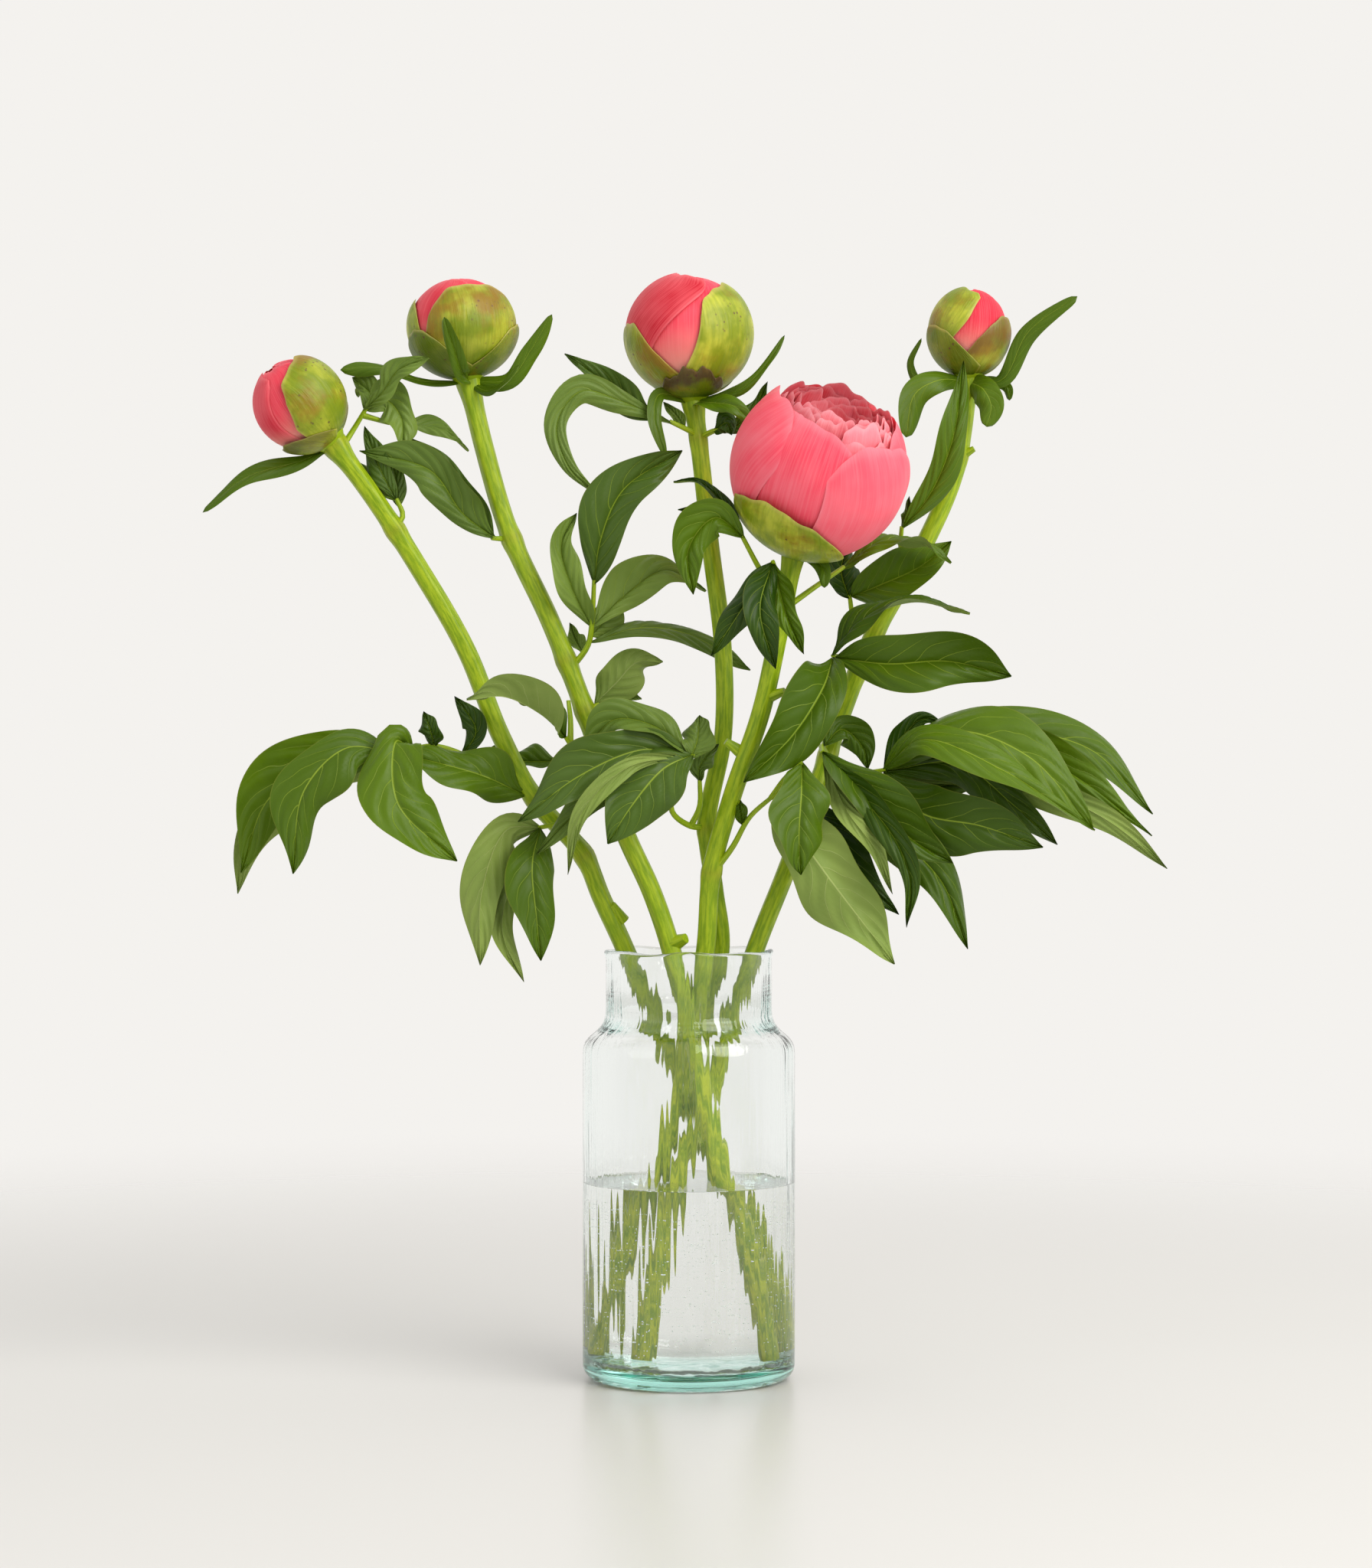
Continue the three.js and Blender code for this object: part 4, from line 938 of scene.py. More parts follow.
# Each sepal is listed in its CAD node's order.
sepalRows = {
    "a": [
        {"azimuth": 62, "to": 140, "halfWidth": 29, "lift": 1.6, "drop": 38, "shade": 0.1,
         "tan": (0.5, 1.0)},
        {"azimuth": -58, "to": 66, "halfWidth": 17, "lift": 2.6, "drop": 20, "shade": 0.3, "scorch": 0.5},
        {"azimuth": 178, "to": 118, "halfWidth": 22, "lift": 2.4, "shade": 0.2},
    ],
    "b": [
        {"azimuth": 24, "to": 136, "halfWidth": 27, "lift": 1.8, "drop": 36, "shade": 0.2,
         "tan": (1.0, -1.0)},
        {"azimuth": -86, "from": 14, "to": 128, "halfWidth": 17, "lift": 1.4, "drop": 30, "shade": 0.0},
        {"azimuth": -54, "to": 86, "halfWidth": 16, "lift": 2.9, "power": 3.2, "shade": 0.7},
        {"azimuth": 80, "to": 82, "halfWidth": 16, "lift": 2.9, "power": 3.2, "shade": 0.6},
        {"azimuth": 168, "from": 14, "to": 122, "halfWidth": 22, "lift": 2.6, "shade": 0.2},
    ],
    "c": [
        {"azimuth": 66, "to": 140, "halfWidth": 30, "lift": 1.6, "drop": 36, "shade": 0.0, "ruffle": 2.0},
        {"azimuth": -72, "to": 104, "halfWidth": 22, "lift": 1.6, "shade": 0.3, "tan": (0.6, 1.0)},
        {"azimuth": 2, "to": 56, "halfWidth": 15, "lift": 2.8, "drop": 14, "shade": 0.4, "scorch": 0.8,
         "ruffle": 3.2, "beats": 4},
        {"azimuth": 178, "to": 112, "halfWidth": 24, "lift": 2.6, "shade": 0.2},
    ],
    "d": [
        {"azimuth": -14, "to": 70, "halfWidth": 29, "lift": 6.8, "drop": 12, "lean": 0.3, "shade": -0.3},
    ],
    "e": [
        {"azimuth": -62, "from": 14, "to": 94, "halfWidth": 17, "lift": 2.4, "shade": 0.6},
        {"azimuth": 60, "from": 14, "to": 108, "halfWidth": 18, "lift": 1.8, "shade": 0.15, "scorch": 0.4,
         "tan": (1.0, 0.0)},
        {"azimuth": -70, "from": 70, "to": 168, "halfWidth": 20, "lift": 1.4, "drop": 24, "shade": 0.05,
         "tan": (0.5, 0.0)},
        {"azimuth": 172, "from": 14, "to": 140, "halfWidth": 20, "lift": 2.4, "shade": 0.2},
    ],
}

# Furled petals of the four buds: each leans over the next.
budPetalRows = {
    "a": [
        {"azimuth": -100, "lift": 0.2, "shade": 0.2}, {"azimuth": -30, "lift": -0.4},
        {"azimuth": 40, "lift": -1.0}, {"azimuth": 110, "lift": -0.6}, {"azimuth": 180, "lift": -0.2},
    ],
    "b": [
        {"azimuth": -60, "lift": 0.1, "shade": 0.3}, {"azimuth": 10, "lift": -0.4},
        {"azimuth": 80, "lift": -0.9}, {"azimuth": 150, "lift": -0.7}, {"azimuth": 220, "lift": -0.2},
    ],
    "c": [
        {"azimuth": 4, "lift": -0.3, "shade": 0.9},
        {"azimuth": -112, "tipAzimuth": -46, "lift": 0.7, "tipLift": 1.6, "shade": -0.5, "base": 0.25,
         "waist": 0.9},
        {"azimuth": 66, "lift": -1.0}, {"azimuth": 136, "lift": -0.6}, {"azimuth": 206, "lift": -0.2},
    ],
    "e": [
        {"azimuth": 10, "lift": 0.1, "shade": 0.4}, {"azimuth": -62, "lift": -0.4},
        {"azimuth": 82, "lift": -1.0}, {"azimuth": 154, "lift": -0.7}, {"azimuth": 226, "lift": -0.2},
    ],
}
budLook = {
    "core": {"from": 8, "to": 179, "lift": -1.6, "drop": 3, "ruffle": 0.2, "crease": 0.2, "shade": 0.1,
             "edgeLift": -0.4, "base": 0.7},
    "furled": {"from": 10, "to": 171, "drop": 26, "power": 2.6, "lean": 0.12, "crease": 0.45},
    "coreAzimuths": (30, 150, 270), "coreWidth": 1.25, "furledWidth": 0.98, "lean": 12,
    "shade": (0.35, 0.95), "seed": 23,
}


def makeBuds():
    dice = random.Random(budLook["seed"])
    for key, whorl in budPetalRows.items():
        flower = flowerRows[key]
        wide = flower["radii"][0]
        core = {**budLook["core"], "halfWidth": wide * budLook["coreWidth"]}
        petals = [shellMesh("core", flower, {**core, "azimuth": angle}, dice, looks["budPetal"])
                  for angle in budLook["coreAzimuths"]]
        furled = {**budLook["furled"], "halfWidth": wide * budLook["furledWidth"]}
        for row in whorl:
            spec = {"tipAzimuth": row["azimuth"] + budLook["lean"], "shade": dice.uniform(*budLook["shade"])}
            petals.append(shellMesh("petal", flower, {**spec, **furled, **row}, dice, looks["budPetal"]))
        pieceFrom(f"bud_{key}_petals", petals, [f"bud_{key}_inner_petals"])
    print("bud petals made")


sepalLook = {"plain": {"from": 12, "drop": 34, "thickness": 1.0, "base": 0.5, "crease": 0.3}, "seed": 31}


def makeSepals():
    dice = random.Random(sepalLook["seed"])
    for key, rows in sepalRows.items():
        base = "bloom" if key == "d" else f"bud_{key}"
        for number, row in enumerate(rows, 1):
            spec = {**sepalLook["plain"], **row}
            shell = shellMesh("sepal", flowerRows[key], spec, dice, looks["sepal"])
            pieceFrom(f"{base}_sepal_{number}_fine", [shell], [f"{base}_sepal_{number}"])
    print("sepals made")


# painted light: the first petal, on the right, has a high shade for a painted highlight, and the back petals
# 5 and 6 have a high shade so that their shadowed insides are painted pinker
bloomRows = [
    {"azimuth": 74, "tipAzimuth": 50, "to": 122, "halfWidth": 31, "lift": 5.4, "tipLift": 3.2, "drop": 26,
     "shade": 0.95, "base": 0.6, "waist": 0.6, "power": 3.0, "ruffle": 0.6},
    {"azimuth": -12, "to": 130, "halfWidth": 30, "lift": 3.2, "tipLift": 1.4, "drop": 15, "shade": 0.4,
     "base": 0.8, "waist": 0.4, "lean": 0.3, "power": 2.2, "ruffle": 0.5},
    {"azimuth": -110, "tipAzimuth": -74, "to": 134, "halfWidth": 34, "lift": 5.2, "tipLift": 2.4, "drop": 30,
     "shade": 0.65, "base": 0.2, "waist": 0.8, "power": 3.4, "ruffle": 0.7},
    {"azimuth": 90, "to": 134, "halfWidth": 29, "lift": 3.4, "tipLift": 1.6, "drop": 26, "shade": 0.2,
     "base": 0.6, "power": 2.0},
    {"azimuth": 146, "to": 130, "halfWidth": 26, "lift": 4.6, "tipLift": 2.4, "drop": 22, "shade": 0.9,
     "power": 3.0, "ruffle": 2.2},
    {"azimuth": -166, "to": 132, "halfWidth": 28, "lift": 3.0, "tipLift": 2.6, "drop": 22, "shade": 0.9,
     "power": 3.0, "ruffle": 2.4},
]
# the standing whorl inside the outer petals, in the heart's lighter pinks: painted light where the cup is in
# shadow
standingRows = [
    {"azimuth": 176, "to": 134, "scale": 0.8, "sink": -9.0, "tipLift": 3.0},
    {"azimuth": 126, "to": 131, "scale": 0.82, "sink": -7.0, "tipLift": 2.6},
    {"azimuth": -134, "to": 132, "scale": 0.8, "sink": -7.5, "tipLift": 3.0},
    {"azimuth": 80, "to": 128, "scale": 0.84, "sink": -4.5, "tipLift": 2.6},
    {"azimuth": 60, "to": 127, "scale": 0.93, "sink": -1.5, "tipLift": 1.6, "halfWidth": 13},
    {"azimuth": -86, "to": 130, "scale": 0.82, "sink": -5.0, "tipLift": 2.4},
    {"azimuth": 28, "to": 126, "scale": 0.86, "sink": -1.0, "tipLift": 1.6},
    {"azimuth": -34, "to": 128, "scale": 0.84, "sink": -2.0, "tipLift": 1.6},
]
# each ring: how many petals, their share of the flower's radii, half width, sink and flare at the tip
bloomLook = {
    "outer": {"from": 12, "rows": 64, "columns": 72, "power": 2.4, "crease": 0.9, "thickness": 0.7},
    "standing": {"from": 40, "halfWidth": 17, "lift": 0, "drop": 18, "power": 2.6, "ruffle": 2.6,
                 "beats": 2.2, "crease": 0.7, "thickness": 0.6, "shade": 0.75, "rows": 28, "columns": 44},
    "heart": {"from": 40, "lift": 0, "power": 2.8, "ruffle": 2.6, "crease": 0.8, "thickness": 0.5,
              "rows": 20, "columns": 26},
    "rings": [(9, 0.69, 11.0, -6.0, 6.0), (9, 0.59, 10.0, -9.6, 6.0), (8, 0.49, 9.0, -12.0, 6.0),
              (7, 0.39, 8.0, -12.5, 5.5), (6, 0.3, 7.0, -12.0, 5.0), (5, 0.21, 5.5, -10.5, 4.0),
              (4, 0.13, 4.5, -8.0, 3.0)],
    "seed": 5,
}


def makeBloom():
    dice = random.Random(bloomLook["seed"])
    flower = flowerRows["d"]
    for number, row in enumerate(bloomRows, 1):
        shell = shellMesh("outer", flower, {**bloomLook["outer"], **row}, dice, looks["bloomPetal"])
        pieceFrom(f"bloom_petal_{number}_fine", [shell], [f"bloom_petal_{number}"])
    hearts = []
    for row in standingRows:
        spec = {**bloomLook["standing"], **row}
        hearts.append(shellMesh("standing", flower, spec, dice, looks["heartPetal"]))
    for count, scale, halfWidth, sink, flare in bloomLook["rings"]:
        for k in range(count):
            spec = {
                **bloomLook["heart"], "scale": scale,
                "azimuth": 360 / count * (k + dice.uniform(-0.2, 0.2)) + 40 * count,
                "to": 130 + dice.uniform(-3, 3), "halfWidth": halfWidth * dice.uniform(0.85, 1.15),
                "sink": sink + dice.uniform(-1.3, 1.3), "tipLift": flare + dice.uniform(-0.6, 0.8),
                "drop": dice.uniform(12, 22), "beats": dice.uniform(1.4, 2.6),
                # painted shade: the smaller inner rings get a lower shade, so the hollow is painted a deeper
                # crimson
                "shade": dice.uniform(0.0, 1.0) * min(1, 1.6 * scale)}
            hearts.append(shellMesh("heart", flower, spec, dice, looks["heartPetal"]))
    pieceFrom("bloom_heart", hearts, ["bloom_inner_petals"])
    print("bloom made:", len(bloomRows) + len(hearts), "petals")


# Calyxes.

calyxRows = {
    "a": {"radius": 6.5, "bracts": [
        ([(-178, -8, 428), (-205, -14, 419), (-225, -16, 403)], 4, 40),
    ]},
    "b": {"radius": 7, "bracts": [
        ([(-125, 8, 466), (-145, 4, 472), (-163, 2, 471)], 4, 45),
        ([(-106, -8, 470), (-108, -14, 477), (-111, -18, 486), (-113, -19.5, 493)], 4.6, 85),
        ([(-84, 6, 467), (-74, 4, 480), (-64, 2, 497)], 4, 60),
        ([(-94, 2, 461), (-86, -6, 464), (-79, -9, 472)], 2.6, 50),
    ]},
    "c": {"radius": 7, "bracts": [
        ([(-14, 0, 459), (-16, -6, 448), (-11, -6, 430)], 3.6, 85),
        ([(24, 6, 462), (38, 6, 476), (45, 8, 488)], 2.4, 60),
        ([(13, 0, 455), (21, -6, 453), (28, -6, 447)], 6, 70),
    ]},
    "d": {"radius": 7, "bracts": [
        ([(58, -32, 380), (62, -36, 374), (62, -37, 367)], 3.6, 85),
    ]},
    "e": {"radius": 6, "bracts": [
        ([(148, 20, 468), (160, 16, 490), (183, 14, 507)], 4.2, 60),
        ([(117, 12, 467), (106, 9, 460), (102, 8, 440)], 6.5, 80),
        ([(112, 26, 465), (105, 24, 476), (110, 20, 488)], 1.8, 60),
        ([(139, 10, 462), (142, 9, 455), (140, 9, 445)], 6.5, 85),
        ([(146, 26, 468), (151, 24, 465), (152, 24, 459)], 2.6, 80),
    ]},
}
bractStyle = {**leafStyle, "rows": 34, "columns": 15, "quilting": 0.1 * mm, "thickness": 1.3 * mm,
              "outline": (1.1, 0.42), "lobe": (0.0, 0.05), "shade": (0.6, 1.1), "breadth": 1.0}


# A round closed body on a flower's axis; profile is (radius, height) pairs from the seat, in mm.
def latheMesh(name, flower, profile, segments, material):
    angles = np.linspace(0, 2 * math.pi, segments, endpoint=False)
    rings = [[(r * math.cos(a), r * math.sin(a), z) for a in angles] for r, z in profile]
    local = np.array([p for ring in rings for p in ring]) - np.array([0, 0, flower["radii"][1]])
    mesh = bpy.data.meshes.new(name)
    faces = []
    for i in range(len(profile) - 1):
        for k in range(segments):
            nextK = (k + 1) % segments
            low, high = i * segments, (i + 1) * segments
            faces.append((low + k, low + nextK, high + nextK, high + k))
    faces.append(tuple(range(segments))[::-1])
    faces.append(tuple(range((len(profile) - 1) * segments, len(profile) * segments)))
    mesh.from_pydata(placed(flower, local).tolist(), [], faces)
    mesh.materials.append(material)
    return mesh


# the button's outline is (share of the calyx's radius, height in mm from the flower's seat)
calyxLook = {
    "outline": [(0.5, -6), (0.72, -5.2), (0.95, -3.6), (1.15, -1.8), (1.3, 0), (1.2, 1.2), (0.6, 1.8)],
    "segments": 28, "bractsFrom": 4.5, "seed": 47,
}


def makeCalyxes():
    dice = random.Random(calyxLook["seed"])
    for key, row in calyxRows.items():
        flower = flowerRows[key]
        start = seatOf(flower, calyxLook["bractsFrom"])
        blades = [([start, *midrib], halfWidth, face) for midrib, halfWidth, face in row["bracts"]]
        bracts = bladesMesh(key + "Bracts", blades, dice, bractStyle, looks["bract"], looks["under"])
        outline = [(row["radius"] * share, height) for share, height in calyxLook["outline"]]
        button = latheMesh("button", flower, outline, calyxLook["segments"], looks["stem"])
        pieceFrom(f"calyx_{key}_fine", [button, bracts], [f"calyx_{key}"])
    print("calyxes made")


# Stems.

stemRows = {
    "a": {"radius": 4.4, "route": [
        (33, 15, 9), (22, 16, 60), (8, 15, 108), (-10, 11, 150), (-30, 6, 200), (-41, 5, 224),
        (-50, 5, 245), (-72, 2, 270), (-88, -1, 300), (-104, -4, 340), (-127, -7, 380),
        (-147, -9, 411)]},
    "b": {"radius": 4.5, "route": [
        (33, -14, 9), (25, -15, 55), (14, -15, 100), (3, -14, 150), (-8, -12, 200), (-17, -12, 227),
        (-30, -12, 256), (-46, -6, 305), (-64, -2, 352), (-84, 4, 395), (-96, 10, 435)]},
    "c": {"radius": 4.1, "route": [
        (-26, 24, 9), (-20, 25, 60), (-10, 25, 108), (4, 21, 155), (15, 8, 200), (12, 3, 228),
        (8.5, 2, 258), (16, 3, 300), (16, 5, 340), (10, 8, 390), (5, 11, 435)]},
    "d": {"radius": 4.3, "route": [
        (-35, 0, 9), (-25, 2, 50), (-14, 3, 92), (-3, 1, 140), (7.5, -13, 200), (10.5, -16, 237),
        (20, -20, 272), (33, -25, 310), (41, -28, 346)]},
    "e": {"radius": 4.3, "route": [
        (-18, -12, 9), (-12, -9, 50), (-4, -4, 95), (12, 2, 140), (31, 1, 200), (45, 6, 235),
        (60, 13, 275), (72, 18, 310), (86, 20, 345), (110, 22, 388), (125, 24, 422), (130, 25, 446)]},
}
stemLook = {
    "sides": 32, "ribs": 5, "ribDepth": 0.045, "flare": 1.7, "seatDepth": 2.5,
    "nodes": {"a": [(244, 1.3), (271, 1.0), (396, 1.2), (434, 0.8)],
              "b": [(278, 0.9), (312, 1.2), (334, 1.2), (391, 1.2)],
              "c": [(257, 1.5), (440, 0.6)], "d": [(237, 1.2), (357, 0.8)],
              "e": [(277, 1.1), (291, 1.2), (331, 0.9), (349, 0.8), (381, 1.0), (432, 0.9)]},
    "nubs": {"a": [((-31, 6, 213), (-36, 2, 221), 2.4)], "b": [((-8, -12, 203), (-1.5, -17, 206), 3.2)],
             "d": [((35.5, -26, 317), (44, -30, 320), 2.4), ((24, -21, 292), (17, -23, 297), 2.4)],
             "e": [((128, 24, 432), (135, 22, 436), 2.0)]},
}


def makeStems():
    for key, row in stemRows.items():
        route = [*row["route"], seatOf(flowerRows[key], stemLook["seatDepth"])]
        radius = row["radius"]
        meshes = [stalkMesh("stem", [route], (radius, radius), stemLook["sides"], stemLook["ribs"],
                            stemLook["ribDepth"], stemLook["flare"], stemLook["nodes"][key])]
        for start, end, thick in stemLook["nubs"].get(key, []):
            middle = tuple((a + b) / 2 for a, b in zip(start, end))
            radii = (thick * 1.3, thick * 0.7)
            meshes.append(stalkMesh("nub", [[start, middle, end]], radii, **stalkLook["plain"]))
        pieceFrom(f"stem_{key}_fine", meshes, [f"stem_{key}"])
    print("stems made")


# Vase, water and bubbles. A plain size is in mm, and one with * mm is in metres.

vaseLook = {
    "body": 49.6, "neck": 38.8, "rim": 39.6, "height": 199.9, "foot": 7.0, "shoulder": (152.0, 172.0),
    "wall": 2.5, "neckWall": 2.2, "floor": 8.5, "floorRound": 8.0, "punt": 30.0, "puntRise": 0.6,
    "segments": 720, "ripple": 0.5 * mm, "rippleScale": 5.5, "comb": 0.28 * mm, "combScale": 20.0,
    "insideShare": 0.8, "rimWave": 0.35 * mm, "floorWave": 1.6 * mm,
    "bead": 2.0, "beadHeight": 168.0, "beadSpread": 4.5,
}
# the water's side carries the wall's ripples, which draw the stems out into long streaks
waterLook = {
    "level": 91.5, "overlap": 0.9, "floorOverlap": 1.2, "segments": 480,
    "ripple": -0.5 * mm, "comb": -0.34 * mm, "rippledFrom": 45.0,
}
bubbleLook = {
    "count": 1400, "seed": 3, "radius": (0.12 * mm, 0.34 * mm), "reach": 46 * mm, "share": (0.55, 0.985),
    "height": (14 * mm, 82 * mm),
}


def arcPoints(cx, cz, radius, start, end, count):
    angles = np.radians(np.linspace(start, end, count))
    return [(cx + radius * math.cos(a), cz + radius * math.sin(a)) for a in angles]


def bezierPoints(p0, p1, p2, p3, count):
    t = np.linspace(0, 1, count)[:, None]
    p0, p1, p2, p3 = (np.array(p, float) for p in (p0, p1, p2, p3))
    curve = (1 - t) ** 3 * p0 + 3 * (1 - t) ** 2 * t * p1 + 3 * (1 - t) * t ** 2 * p2 + t ** 3 * p3
    return [tuple(p) for p in curve]


# The shoulder's soft S between the body's wall and the neck's.
def shoulderPoints(bodyWall, neckWall):
    low, high = vaseLook["shoulder"]
    return bezierPoints((bodyWall, low), (bodyWall, low + 10), (neckWall, high - 12), (neckWall, high), 11)


# The inner floor, barely raised in its middle.
def floorPoints(floor, start, end, count):
    return [(r, floor + 0.5 * (1 - r / 34)) for r in np.linspace(start, end, count)]


# The wall's outline as (radius, height) in mm, from the foot's centre over the rim to the inner floor.
def vaseSection():
    body, neck, top, foot = (vaseLook[key] for key in ("body", "neck", "height", "foot"))
    inner, neckInner = body - vaseLook["wall"], neck - vaseLook["neckWall"]
    low, floor, corner = vaseLook["shoulder"][0], vaseLook["floor"], vaseLook["floorRound"]
    punt = vaseLook["punt"]
    outer = [(r, vaseLook["puntRise"] * (1 - (r / punt) ** 2)) for r in np.linspace(0, punt, 8)]
    outer += [(body - foot - 6, 0)]
    outer += arcPoints(body - foot, foot, foot, -90, 0, 9)
    outer += [(body, z) for z in np.linspace(2 * foot, low, 8)]
    outer += shoulderPoints(body, neck)[1:]
    outer += [(neck, z) for z in (180, 188, top - 4)]
    half = (vaseLook["rim"] - neckInner) / 2
    outer += arcPoints((vaseLook["rim"] + neckInner) / 2, top - half, half, 0, 180, 9)
    outer += [(neckInner, z) for z in (190, 182)]
    outer += shoulderPoints(inner, neckInner)[::-1]
    outer += [(inner, z) for z in np.linspace(low - 14, floor + 9, 9)]
    outer += arcPoints(inner - corner, floor + corner, corner, 0, -90, 8)
    return outer + floorPoints(floor, 34, 0, 20)


def waterSection():
    radius, floor = vaseLook["body"] - vaseLook["wall"] + waterLook["overlap"], vaseLook["floor"]
    floor, level, corner = floor - waterLook["floorOverlap"], waterLook["level"], vaseLook["floorRound"]
    outer = floorPoints(floor, 0, 34, 6)
    outer += arcPoints(radius - corner, floor + corner, corner, -90, 0, 8)[1:]
    outer += [(radius, z) for z in np.linspace(24, level + 0.5, 24)]
    # the water climbs the wall a little
    outer += [(radius - 1.4, level + 0.5), (radius - 2.0, level + 0.12), (radius - 2.9, level)]
    outer += [(r, level) for r in np.linspace(radius - 5, 0, 6)]
    return outer


turnedLook = {"stretch": (("Ripple", 2.4), ("Comb", 0.9)), "floorScale": 150.0, "seam": 0.002 * mm}


# A round wall: the section's points say radius and height, and the ring says the angle.
def turnedTree():
    tree, given = startTree("turnedWall", [
        ("Segments", "Int", 720), ("Ripple Depth", "Float", 0.0), ("Ripple Scale", "Float", 5.0),
        ("Comb Depth", "Float", 0.0), ("Comb Scale", "Float", 15.0), ("Rim Wave", "Float", 0.0),
        ("Floor Wave", "Float", 0.0), ("Skin", "Material", None)])
    index = put(tree, "GeometryNodeInputIndex").outputs[0]
    angle = times(calc("DIVIDE", index, given["Segments"]), 2 * math.pi)
    ring = stored(circle(tree, given["Segments"], 10 * mm), "angle", angle)
    wall = step(step(given["Geometry"], "MeshToCurve"), "CurveToMesh", {"Profile Curve": ring})
    angle, radius, height = named(tree, "angle"), named(tree, "reach"), named(tree, "height")
    sine, cosine = calc("SINE", angle), calc("COSINE", angle)
    # long shallow ripples and a finer comb run down the wall, drawn out along its height
    total = None
    for label, stretch in turnedLook["stretch"]:
        bumps = noiseOn(vectorOf(sine, cosine, times(height, stretch)), given[label + " Scale"], 1.0)
        bumps = times(minus(bumps, 0.5), given[label + " Depth"])
        total = bumps if total is None else plus(total, bumps)
    radius = timesPlus(total, named(tree, "rippled"), radius)
    wobble = plus(calc("SINE", timesPlus(angle, 5.0, 1.0)), calc("SINE", timesPlus(angle, 8.0, 2.0)))
    height = timesPlus(times(wobble, given["Rim Wave"]), named(tree, "rim"), height)
    flat = vectorOf(times(radius, sine), times(radius, cosine))
    uneven = times(minus(noiseOn(flat, turnedLook["floorScale"], 3.0), 0.5), given["Floor Wave"])
    height = timesPlus(uneven, named(tree, "floor"), height)
    spot = vectorOf(times(radius, sine), times(radius, times(cosine, -1.0)), height)
    wall = step(wall, "SetPosition", {"Position": spot})
    return endTree(tree, wall, turnedLook["seam"], given["Skin"])


def turnedMesh(name, section, values, facts):
    radius, height = np.array(section).T * mm
    line = np.stack([radius, 0 * radius, height], axis=1)
    still = np.zeros(len(section))
    rows = {"reach": radius, "height": height, "rim": still, "floor": still, **facts}
    source = lineMesh(name, [line], {key: [row] for key, row in rows.items()})
    values = {"Ripple Scale": vaseLook["rippleScale"], "Comb Scale": vaseLook["combScale"], **values}
    return baked(name, source, turnedTree(), values)


def makeVase():
    section = vaseSection()
    radius, height = np.array(section).T
    inside = np.arange(len(section)) > int(np.argmax(height))
    rippled = np.clip((height - 6) / 20, 0, 1) * np.clip((196 - height) / 14, 0, 1)
    bead = np.exp(-((height - vaseLook["beadHeight"]) / vaseLook["beadSpread"]) ** 2)
    radius = radius - inside * vaseLook["bead"] * bead  # the wall is thickest inside the shoulder
    wall = turnedMesh("wall", np.stack([radius, height], axis=1), {
        "Segments": vaseLook["segments"], "Skin": looks["glass"], "Ripple Depth": vaseLook["ripple"],
        "Comb Depth": vaseLook["comb"], "Rim Wave": vaseLook["rimWave"], "Floor Wave": vaseLook["floorWave"],
    }, {
        "rippled": rippled * np.where(inside, 1.0, -vaseLook["insideShare"]),
        "rim": np.clip((height - 180) / 16, 0, 1),
        "floor": inside * np.clip((13 - height) / 4, 0, 1) * np.clip(radius / 4, 0, 1),
    })
    pieceFrom("bottle_vase", [wall], ["vase"])
    print("vase made")


def bubbleTree():
    tree, given = startTree("airBubbles", [
        ("Count", "Int", 400), ("Seed", "Int", 3), ("Smallest", "Float", 0.2 * mm),
        ("Largest", "Float", 0.5 * mm), ("Reach", "Float", 46 * mm), ("Low", "Float", 14 * mm),
        ("High", "Float", 82 * mm), ("Skin", "Material", None)])

    def chance(low, high, shift):
        seed = plus(given["Seed"], shift)
        node = put(tree, "FunctionNodeRandomValue", {2: low, 3: high, "Seed": seed}, data_type="FLOAT")
        return node.outputs[1]

    angle, share = chance(0.0, 2 * math.pi, 1.0), chance(*bubbleLook["share"], 2.0)
    height = chance(given["Low"], given["High"], 3.0)
    reach = times(given["Reach"], share)
    spot = vectorOf(times(reach, calc("COSINE", angle)), times(reach, calc("SINE", angle)), height)
    points = put(tree, "GeometryNodePoints", {"Count": given["Count"], "Position": spot}).outputs[0]
    ball = put(tree, "GeometryNodeMeshUVSphere", {"Segments": 8, "Rings": 5, "Radius": 1.0}).outputs[0]
    size = chance(given["Smallest"], given["Largest"], 4.0)
    beads = step(points, "InstanceOnPoints", {"Instance": ball, "Scale": size})
    return endTree(tree, beads, skin=given["Skin"])


def makeWater():
    section = waterSection()
    radius, height = np.array(section).T
    rippled = np.clip((height - 16) / 10, 0, 1) * (radius > waterLook["rippledFrom"])
    body = turnedMesh("body", section, {
        "Segments": waterLook["segments"], "Skin": looks["water"], "Ripple Depth": waterLook["ripple"],
        "Comb Depth": waterLook["comb"],
    }, {"rippled": rippled * np.clip((height.max() - height) / 4, 0, 1)})
    pieceFrom("still_water", [body], ["water"])
    bubbles = baked("bubbles", bpy.data.meshes.new("bubbleSeed"), bubbleTree(), {
        "Count": bubbleLook["count"], "Seed": bubbleLook["seed"], "Smallest": bubbleLook["radius"][0],
        "Largest": bubbleLook["radius"][1], "Reach": bubbleLook["reach"], "Low": bubbleLook["height"][0],
        "High": bubbleLook["height"][1], "Skin": looks["bubble"]})
    pieceFrom("water_bubbles", [bubbles], ["water"])
    print("water made")


makeVase()
makeWater()
makeStems()
makeCalyxes()
makeBuds()
makeSepals()
makeBloom()
makeLeaves()


# Floor, light and camera.

stageLook = {
    "near": 0.35, "far": 1.25, "radius": 1.4, "drop": 0.2 * mm,
    "white": (0.67, 0.662, 0.645, 1), "shade": (0.655, 0.647, 0.63, 1),
}


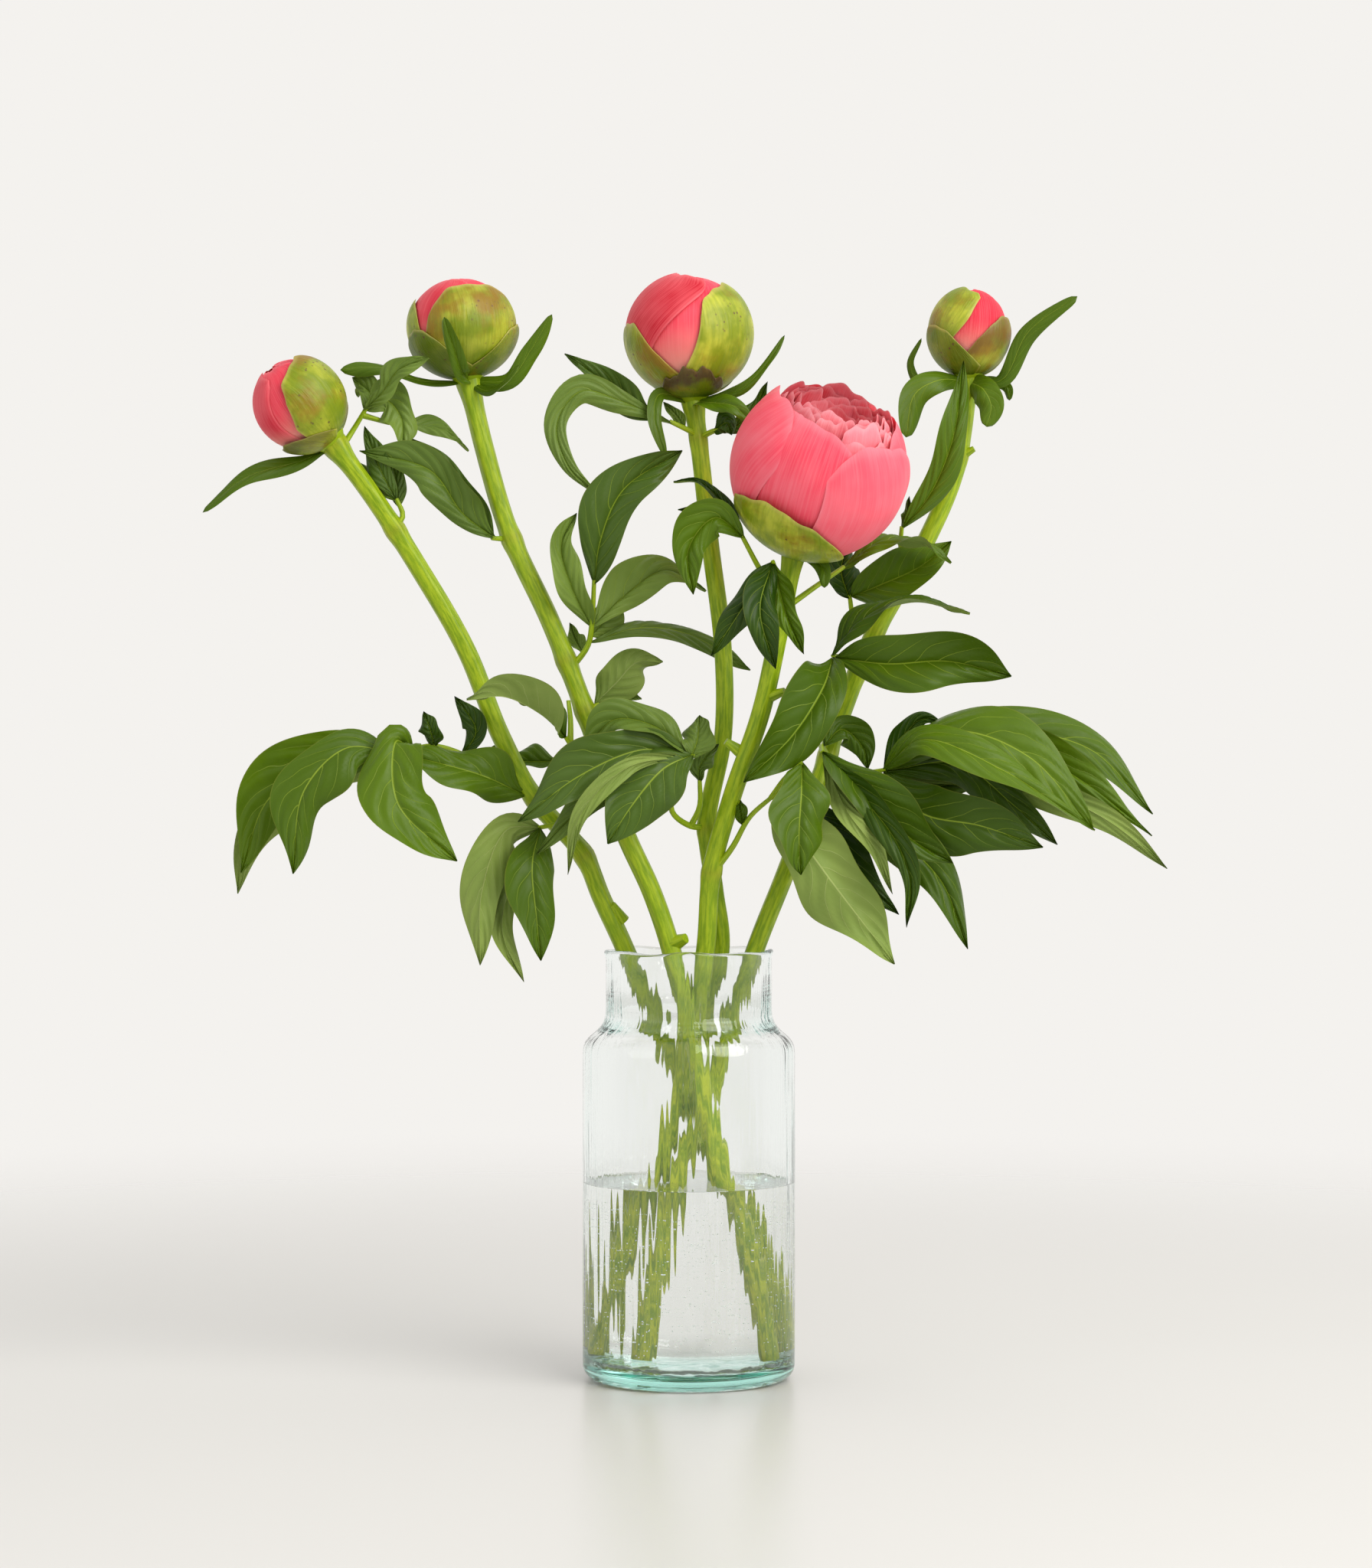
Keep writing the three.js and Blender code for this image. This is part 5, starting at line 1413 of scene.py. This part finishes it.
def makeStage():
    material, tree, surface = startMaterial("paleFloor", Roughness=0.3, Specular_IOR_Level=0.4)
    place = objectPlace(tree)
    feed(surface, "Base Color", blendColour(noiseOn(place, 3.0), stageLook["shade"], stageLook["white"]))
    away = vecCalc("LENGTH", place, out="Value")
    feed(surface, "Alpha", ramp(away, stageLook["far"], stageLook["near"]))
    work = bmesh.new()
    bmesh.ops.create_circle(work, cap_ends=True, segments=96, radius=stageLook["radius"])
    mesh = bpy.data.meshes.new("floor")
    work.to_mesh(mesh)
    work.free()
    mesh.materials.append(material)
    floor = bpy.data.objects.new("floor", mesh)
    floor.location.z = -stageLook["drop"]
    bpy.context.scene.collection.objects.link(floor)


lightLook = {
    "key": {"place": (1.3, -1.3, 1.5), "size": 2.2, "power": 48, "colour": (1.0, 0.98, 0.94)},
    "fill": {"place": (-1.6, -1.2, 0.9), "size": 1.4, "power": 3, "colour": (0.97, 0.99, 1.0)},
    "target": (0, 0, 0.3), "bounces": 24, "glossyBounces": 16,
    "front": (0.66, 0.65, 0.63, 1), "back": (0.905, 0.887, 0.858, 1), "under": (0.55, 0.55, 0.53, 1),
}


def softLight(name):
    row = lightLook[name]
    lamp = bpy.data.lights.new(name, "AREA")
    lamp.shape, lamp.size, lamp.energy, lamp.color = "DISK", row["size"], row["power"], row["colour"]
    holder = bpy.data.objects.new(name, lamp)
    holder.location = row["place"]
    aim = Vector(lightLook["target"]) - Vector(row["place"])
    holder.rotation_euler = aim.to_track_quat("-Z", "Y").to_euler()
    bpy.context.scene.collection.objects.link(holder)


def makeLight():
    scene = bpy.context.scene
    scene.view_settings.view_transform = "Standard"
    # light turns back and forth many times inside the glass wall
    scene.cycles.max_bounces = scene.cycles.transmission_bounces = lightLook["bounces"]
    scene.cycles.glossy_bounces = lightLook["glossyBounces"]
    world = bpy.data.worlds.new("paleRoom")
    world.use_nodes = True
    scene.world = world
    tree = world.node_tree
    direction = put(tree, "ShaderNodeTexCoord").outputs["Generated"]
    _, deep, up = put(tree, "ShaderNodeSeparateXYZ", {0: direction}).outputs
    tone = blendColour(ramp(deep, -0.3, 0.35), lightLook["front"], lightLook["back"])
    tone = blendColour(ramp(up, -0.08, -0.6), tone, lightLook["under"])
    tree.links.new(tone, tree.nodes["Background"].inputs["Color"])
    softLight("key")
    softLight("fill")


cameraLook = {"lens": 85.2, "sensor": 36, "place": (-1.3 * mm, -1734 * mm, 277.3 * mm)}


def makeCamera():
    camera = bpy.data.cameras.new("camera")
    camera.lens, camera.sensor_width = cameraLook["lens"], cameraLook["sensor"]
    camera.clip_start, camera.clip_end = 0.05, 40
    holder = bpy.data.objects.new("camera", camera)
    holder.location = cameraLook["place"]
    holder.rotation_euler = (math.radians(90), 0, 0)
    bpy.context.scene.collection.objects.link(holder)
    bpy.context.scene.camera = holder


makeStage()
makeLight()
makeCamera()

print("done")
